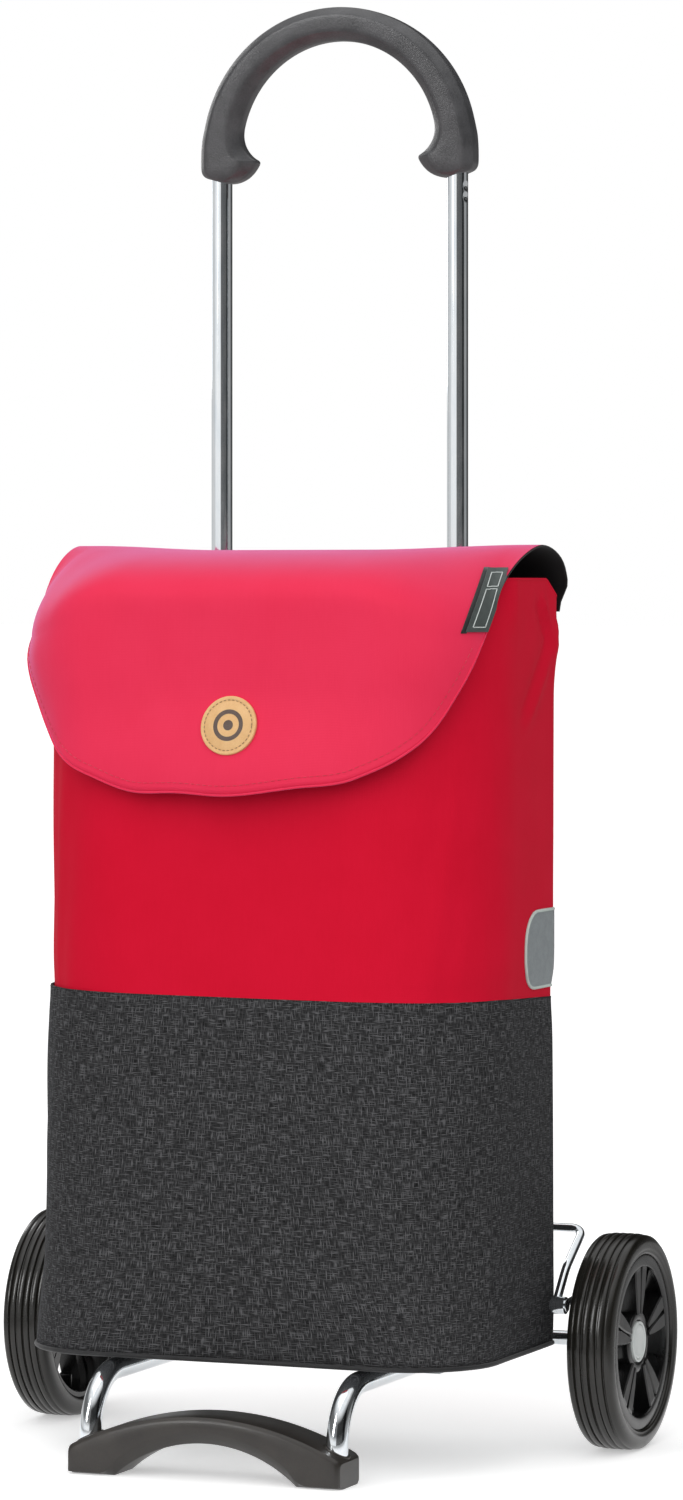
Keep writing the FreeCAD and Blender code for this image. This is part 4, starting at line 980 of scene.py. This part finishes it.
def makeBagEdge(name, z, out, upper, radius, segments, finish, replaces=()):
    points, faces = sweep(bagRing(z, out, upper), radius, segments, True)
    uvs = None if finish is pipingTape else frontUvs(points)
    makePiece(name, points, faces, finish, "bag", replaces, uvs)


def makeLining():
    points, _, count, columns = bagShell(bag["liningLow"], bag["rim"] - 2, -bag["liningGap"], 12.0, True)
    faces = gridFaces(count, columns, True) + endCaps(count, columns, True)[:1]
    makePiece("lining_cloth", points, faces, liningCloth, "bag", ["bag_lining"])


makeShell("bag_red_panel", bag["seam"] - 9, bag["rim"], bagCloth, ["bag_upper"], True)
makeShell("bag_melange_panel", bag["hem"], bag["seam"], melangeCloth, ["bag_lower"], False)
makeBase()
makeBagEdge("base_piping_made", 74.3, -0.2, False, 1.7, 10, pipingTape, ["bag_piping"])
makeBagEdge("seam_edge", bag["seam"] - 0.2, -0.6, False, 0.8, 8, melangeCloth)
makeBagEdge("rim_hem", bag["rim"] - 0.6, -0.8, True, 1.2, 8, bagCloth)
makeLining()
print("bag made")


# reflective patches

patch = {"low": 322.8, "high": 378.0, "back": -17.0, "front": -79.5, "round": 24.0, "out": 0.8, "edging": 1.6}


def sidePoint(side, y, z, out):  # a point on the bag's side panel, or round its back corner
    _, half = bagSection(z)
    corner = bag["backCorner"]
    turn = max(0.0, (y - bag["back"] + corner) / corner)
    flatY = min(y, bag["back"] - corner)
    nx, ny = side * math.cos(turn), math.sin(turn)
    push = corner + bagBulge(side * half, flatY, nx, ny, z) + panelOut(nx, flatY, z, True) + out
    return (side * (half - corner) + nx * push, axleY + flatY + ny * push, z)


def patchOutline(inset):
    r = patch["round"] - inset
    low, high = patch["low"] + inset, patch["high"] - inset
    back, front = patch["back"] - inset * 0.4, patch["front"] + inset
    line = [(back, z) for z in np.linspace(low, high, 12)]
    line += [(y, high) for y in np.linspace(back, front + r, 8)[1:-1]]
    for t in np.linspace(0, math.pi / 2, 10):
        line.append((front + r - r * math.sin(t), high - r + r * math.cos(t)))
    for t in np.linspace(0, math.pi / 2, 10):
        line.append((front + r - r * math.cos(t), low + r - r * math.sin(t)))
    return line + [(y, low) for y in np.linspace(front + r, back, 8)[1:-1]]


def makePatch(name, side):
    outline = np.array(patchOutline(0.0))
    middle = outline.mean(axis=0)
    rings = []
    for share, out in [(1.0, -0.4)] + [(share, patch["out"]) for share in np.linspace(1, 0.04, 14)]:
        rings.append([sidePoint(side, y, z, out) for y, z in middle + (outline - middle) * share])
    points = [p for ring in rings for p in ring]
    faces = gridFaces(len(rings), len(outline), True) + endCaps(len(rings), len(outline))[1:]
    makePiece("reflector_film_" + name, points, faces, reflectiveFilm, "bag",
              ["reflector_" + name], flip=side < 0)
    edge = [sidePoint(side, y, z, patch["out"] - 0.2) for y, z in patchOutline(patch["edging"] * 0.6)]
    points, faces = sweep(edge, patch["edging"] * 0.7, 8, True)
    makePiece("reflector_edging_" + name, points, faces, edgingTape, "bag")


for name, side in sides:
    makePatch(name, side)
print("reflective patches made")


# flap

# s runs across the flap along its front, 0 in the middle; y from the axle. The hem is (s, height).
# Swells are size, height below which they grow, over how far, s of the middle and width.
flap = {"reach": 205.0, "flat": 102.0, "corner": 72.0, "front": -202.0, "crownX": 172.5, "crownY": -70.0,
        "topZ": 627.2, "endTopZ": 630.5, "thick": 1.5, "columns": 121, "frontRows": 30, "topRows": 24,
        "backRows": 14, "spacing": 0.82, "power": 2.6, "backPower": 2.3, "backZ": 600.0, "backY": -14.6,
        "belly": (13.0, 532, 66, 14, 95), "ends": (6.0, 545, 60, 165, 45),
        "hem": ((0.0, 460.0), (54.0, 466.0), (97.0, 471.5), (125.0, 483.0), (152.0, 508.5), (167.0, 532.0),
                (184.0, 560.0), (195.0, 574.0), (205.0, 585.5)),
        "hemTube": 0.75, "stitchUp": 6.5, "stitch": (3.0, 1.6, 0.24)}
hemS = [s for s, z in flap["hem"]]
hemZ = [z for s, z in flap["hem"]]


def hemHeight(s):  # smooth hem through its points, a little lower on the left than on the right
    sag = 4.0 * ridge(s, 122, 26) - 5.5 * ridge(s, -64, 26)
    s = min(abs(s), flap["reach"])
    slopes = np.gradient(hemZ, hemS)
    slopes[0] = 0.0
    k = max(0, min(len(hemS) - 2, int(np.searchsorted(hemS, s) - 1)))
    h = hemS[k + 1] - hemS[k]
    t = (s - hemS[k]) / h
    return (sag + (2 * t ** 3 - 3 * t ** 2 + 1) * hemZ[k] + (t ** 3 - 2 * t ** 2 + t) * h * slopes[k]
            + (3 * t ** 2 - 2 * t ** 3) * hemZ[k + 1] + (t ** 3 - t ** 2) * h * slopes[k + 1])


def bendHeight(s):  # where the front turns over into the top
    return max(hemHeight(s) + 0.5, 588.0 - 22.0 * rise(abs(s), 85, 90))


def swell(s, z, size, below, over, centre, width):
    return size * smoothStep((below - z) / over) * ridge(s, centre, width)


def flapFront(s, z):  # a point on the hanging part, and its outward direction
    if abs(s) <= flap["flat"]:
        x, y, nx, ny = s, flap["front"], 0.0, -1.0
    else:
        t = (abs(s) - flap["flat"]) / flap["corner"]
        sign = 1 if s > 0 else -1
        x = sign * (flap["flat"] + flap["corner"] * math.sin(t))
        y = flap["front"] + flap["corner"] * (1 - math.cos(t))
        nx, ny = sign * math.sin(t), -math.cos(t)
    out = swell(s, z, *flap["belly"]) - swell(abs(s), z, *flap["ends"])
    out += 2.0 * ridge(z, 556, 26) * ridge(abs(s), 150, 40)  # fullness at the corners
    lean = 4.6 - 1.6 * math.copysign(1.0, s)  # and they lean in towards the top
    out -= lean * rise(z, 548, 42) * rise(abs(s), 115, 65)
    out += 1.1 * noise.noise(Vector((s * 0.02 + 5, z * 0.014, 1.7)))
    out += 0.5 * noise.noise(Vector((s * 0.05, z * 0.03, 8.7)))
    return np.array([x + nx * out, y + ny * out, z]), np.array([nx, ny, 0.0])


def flapTop(s):  # height of the crown, and how square the bend is
    edge = rise(abs(s), 70, 120)
    power = flap["power"] - 0.7 * rise(abs(s), 80, 95) - 0.35 * rise(abs(s), 165, 40)
    return flap["topZ"] + (flap["endTopZ"] - flap["topZ"]) * edge, power


def roundedStep(t, power):  # across and up along a rounded corner, t from 0 at the top to a quarter turn
    return math.sin(t) ** (2 / power), max(0.0, math.cos(t)) ** (2 / power)


def flapPoint(s, row):  # row runs 0 at the back edge, 1 at the crown, 2 at the bend, 3 at the hem
    if row >= 2:
        bend = bendHeight(s)
        return flapFront(s, bend + (hemHeight(s) - bend) * (row - 2))[0]
    top, power = flapTop(s)
    crownX = s * flap["crownX"] / flap["reach"]
    crownY = flap["crownY"] + (19 if s > 0 else 5) * rise(abs(s), 70, 120)
    if row >= 1:
        foot, _ = flapFront(s, bendHeight(s))
        c, d = roundedStep((row - 1) * math.pi / 2, power)
        ripple = 0.8 * noise.noise(Vector((s * 0.015, row * 2.0, 4.4)))
        return np.array([crownX + (foot[0] - crownX) * smoothStep(row - 1), crownY + (foot[1] - crownY) * c,
                         foot[2] + (top - foot[2]) * d + ripple * d * c])
    t = (1 - row) * math.pi / 2
    wide = rise(abs(crownX), 112, 45)  # the strip behind the bag is longer and curls in at its ends
    tuck = rise(t, 1.15, 0.42)
    low, backY = flap["backZ"] - 16.0 * wide, flap["backY"] + 7.5 * wide
    c, d = roundedStep(t, flap["backPower"])
    wider = 1 + wide * (0.026 * smoothStep(t / 0.9) - 0.028 * tuck)
    y = crownY + (backY - crownY) * c - wide * 7.0 * tuck
    return np.array([crownX * wider, y, low + (top - low) * d])


def flapColumns():  # closer together towards the ends
    t = np.linspace(-1, 1, flap["columns"]) * math.pi / 2 * flap["spacing"]
    return flap["reach"] * np.sin(t) / math.sin(math.pi / 2 * flap["spacing"])


def toFrame(point):
    return (point[0], axleY + point[1], point[2])


def makeFlap():
    levels = np.concatenate([np.linspace(0, 1, flap["backRows"], endpoint=False),
                             np.linspace(1, 2, flap["topRows"], endpoint=False),
                             np.linspace(2, 3, flap["frontRows"])])
    columns = flapColumns()
    points, uvs = [], []
    run = np.zeros(len(columns))
    previous = None
    for row in levels:
        line = np.array([flapPoint(s, row) for s in columns])
        if previous is not None:
            run = run + np.linalg.norm(line - previous, axis=1)
        previous = line
        points += [toFrame(p) for p in line]
        uvs += list(zip(columns, run))
    faces = gridFaces(len(levels), len(columns))
    piece = makePiece("flap_cloth", points, faces, [litFlapCloth, liningCloth], None, ["flap_panel"],
                      uvs, flip=True)
    applyModifier(piece, "SOLIDIFY", thickness=flap["thick"] * mm, offset=-1.0, material_offset=1,
                  material_offset_rim=1, use_even_offset=False)
    return piece


def makeFlapHem():  # a thin rolled edge along the sides and the hem, tapered at both ends
    reach = flap["reach"]
    edge = [flapPoint(-reach, r) for r in np.linspace(1.7, 2.9, 30)]
    edge += [flapPoint(s, 3) for s in flapColumns()[1:-1]]
    edge += [flapPoint(reach, r) for r in np.linspace(2.9, 1.7, 30)]
    kept = [edge[0]]
    for spot in edge[1:]:
        if np.linalg.norm(spot - kept[-1]) > 1.2:
            kept.append(spot)
    taper = np.minimum(1.0, np.minimum(np.arange(len(kept)), np.arange(len(kept))[::-1]) / 12 + 0.15)
    points, faces = sweep([toFrame(p) for p in kept], flap["hemTube"] * taper, 8)
    return makePiece("flap_hem", points, faces, litFlapCloth, None, [], frontUvs(points))


def stitchRow(spots, normals, length, gap, radius):  # short threads laid along a line of points
    spots, normals = np.array(spots), np.array(normals)
    run = np.concatenate([[0], np.cumsum(np.linalg.norm(np.diff(spots, axis=0), axis=1))])

    def along(values, place):
        return np.array([np.interp(place, run, values[:, k]) for k in range(3)])

    parts, place = [], 0.0
    while place + length < run[-1]:
        out = along(normals, place + length / 2)
        path = [along(spots, place + length * share) + out * radius * (1 + lift)
                for share, lift in ((0.0, -0.45), (0.25, 0.1), (0.5, 0.3), (0.75, 0.1), (1.0, -0.45))]
        parts.append(sweep(path, [radius * 0.6, radius, radius, radius, radius * 0.6], 6))
        place += length + gap
    return joinParts(parts)


def makeFlapStitches():
    spots, normals = [], []
    for s in np.linspace(-196, 196, 400):
        slope = hemHeight(s + 0.5) - hemHeight(s - 0.5)
        scale = flap["stitchUp"] / math.hypot(1, slope)
        across, up = s - slope * scale, hemHeight(s) + scale
        if up < bendHeight(across) - 2 and abs(across) < 200:
            spot, normal = flapFront(across, up)
            spots.append(toFrame(spot))
            normals.append(normal)
    points, faces = stitchRow(spots, normals, *flap["stitch"])
    return makePiece("flap_stitches", points, faces, redThread, None)


flapPiece, hemPiece, hemStitches = makeFlap(), makeFlapHem(), makeFlapStitches()
for piece in (flapPiece, hemPiece, hemStitches):
    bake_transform(piece)
print("flap made")


# badge

badge = {"radius": 20.5, "s": 3.6, "z": 507.0, "thick": 1.6, "stitchRadius": 17.6, "stitch": (1.9, 1.2, 0.3),
         "ring": (8.0, 11.0), "dot": 3.6, "dotHole": 0.4, "printRise": 0.12}


def badgeFrame():  # middle, across, up and outward directions on the flap
    places = ((0, 0), (14, 0), (-14, 0), (0, 16), (0, -16))
    spot, right, left, above, below = [flapFront(badge["s"] + s, badge["z"] + z)[0] for s, z in places]
    across = (right - left) / np.linalg.norm(right - left)
    out = np.cross(across, above - below)
    out /= np.linalg.norm(out)
    lift = max(float((p - spot) @ out) for p in (right, left, above, below)) + 0.2
    return np.array(toFrame(spot)) + out * lift, across, np.cross(out, across), out


badgeMiddle, badgeAcross, badgeUp, badgeOut = badgeFrame()


def onBadge(radius, turn, height):
    return (badgeMiddle + badgeAcross * radius * math.cos(turn) + badgeUp * radius * math.sin(turn)
            + badgeOut * height)


def discPart(profile, segments, looped=False):  # rings of (radius, height), closed by end faces or looped
    points = [onBadge(r, 2 * math.pi * k / segments, h) for r, h in profile for k in range(segments)]
    faces = gridFaces(len(profile), segments, True, looped)
    return points, faces if looped else faces + endCaps(len(profile), segments)


def makeBadge():
    r, thick, top = badge["radius"], badge["thick"], badge["thick"] + badge["printRise"]
    points, faces = discPart([(r - 0.6, -1.2), (r, -0.8), (r, thick - 0.5), (r - 0.25, thick - 0.15),
                              (r - 0.9, thick), (18.4, thick), (17.9, thick - 0.25), (17.2, thick - 0.25),
                              (16.8, thick), (2.0, thick)], 96)
    leather = makePiece("badge_leather", points, faces, tanLeather, "flap", ["flap_badge"])
    sharpen(leather, 60)
    low, high = badge["ring"]
    ring = discPart([(low, thick - 0.4), (high, thick - 0.4), (high, top), (low, top)], 72, True)
    dot = discPart([(badge["dot"], thick - 0.4), (badge["dot"], top), (badge["dotHole"], top)], 48)
    points, faces = joinParts([ring, dot])
    sharpen(makePiece("badge_mark", points, faces, brownPrint, "flap"), 40)
    circle = [onBadge(badge["stitchRadius"], t, thick - 0.2) for t in np.linspace(0, 2 * math.pi, 200)]
    points, faces = stitchRow(circle, [badgeOut] * len(circle), *badge["stitch"])
    makePiece("badge_stitches", points, faces, tanThread, "flap")


makeBadge()
print("badge made")


# woven label

# The label hangs along a slanting line: "slant" is the direction in which its edges are measured.
label = {"highZ": 613.4, "lowZ": 570.7, "highEdge": 115.6, "lowEdge": 99.2, "width": 16.6,
         "slant": (0.9272, 0.3746), "out": 0.9, "rows": 15, "wire": 0.36, "search": (60.0, 205.0),
         "halvings": 22}


def flapAtHeight(s, z):  # a point and normal on the front half of the flap at any height below the crown
    if z <= bendHeight(s):
        return flapFront(s, z)
    top, power = flapTop(s)
    share = min(0.999, (z - bendHeight(s)) / (top - bendHeight(s)))
    row = 1 + math.acos(share ** (power / 2)) / (math.pi / 2)
    spot = flapPoint(s, row)
    normal = np.cross(flapPoint(s + 1.5, row) - spot, spot - flapPoint(s, row + 0.02))
    return spot, normal / np.linalg.norm(normal)


def labelPoint(p, q, out):  # p across from the fold, q down from the top
    z = label["highZ"] + (label["lowZ"] - label["highZ"]) * q
    goal = label["highEdge"] + (label["lowEdge"] - label["highEdge"]) * q - label["width"] * (1 - p)
    near, far = label["search"]
    for _ in range(label["halvings"]):
        s = (near + far) / 2
        spot, normal = flapAtHeight(s, z)
        if spot[0] * label["slant"][0] + spot[1] * label["slant"][1] < goal:
            near = s
        else:
            far = s
    return np.array(toFrame(spot)) + normal * out


def labelSheet(p0, p1, q0, q1, low, high, columns):
    rows = label["rows"]
    points = [labelPoint(p, q, out) for out in (high, low) for q in np.linspace(q0, q1, rows)
              for p in np.linspace(p0, p1, columns)]
    start, last = rows * columns, (rows - 1) * columns
    faces = gridFaces(rows, columns)
    faces += flipped(faces, start)
    rim = list(range(columns)) + [r * columns + columns - 1 for r in range(1, rows)]
    rim += [last + k for k in range(columns - 2, -1, -1)] + [r * columns for r in range(rows - 2, 0, -1)]
    for a, b in zip(rim, rim[1:] + rim[:1]):
        faces.append((a, start + a, start + b, b))
    return points, faces


def lineLoop(p0, p1, q0, q1):
    corners = [(p0, q0), (p1, q0), (p1, q1), (p0, q1)]
    line = []
    for (a, b), (c, d) in zip(corners, corners[1:] + corners[:1]):
        line += [(a + (c - a) * t, b + (d - b) * t) for t in np.linspace(0, 1, 14, endpoint=False)]
    return sweep([labelPoint(p, q, label["out"] + 0.85) for p, q in line], label["wire"], 6, True)


def makeLabel():
    points, faces = labelSheet(0.14, 1.02, 0.0, 1.0, label["out"] - 0.2, label["out"] + 0.7, 9)
    sharpen(makePiece("woven_label", points, faces, wovenLabel, "flap", ["woven_tag"]), 50)
    points, faces = labelSheet(-0.03, 0.2, -0.02, 1.02, 0.1, label["out"] - 0.1, 4)
    makePiece("label_fold", points, faces, pipingTape, "flap")
    points, faces = joinParts([lineLoop(0.34, 0.84, 0.08, 0.30), lineLoop(0.34, 0.84, 0.34, 0.93)])
    makePiece("label_lines", points, faces, paleThread, "flap")


makeLabel()
print("label made")
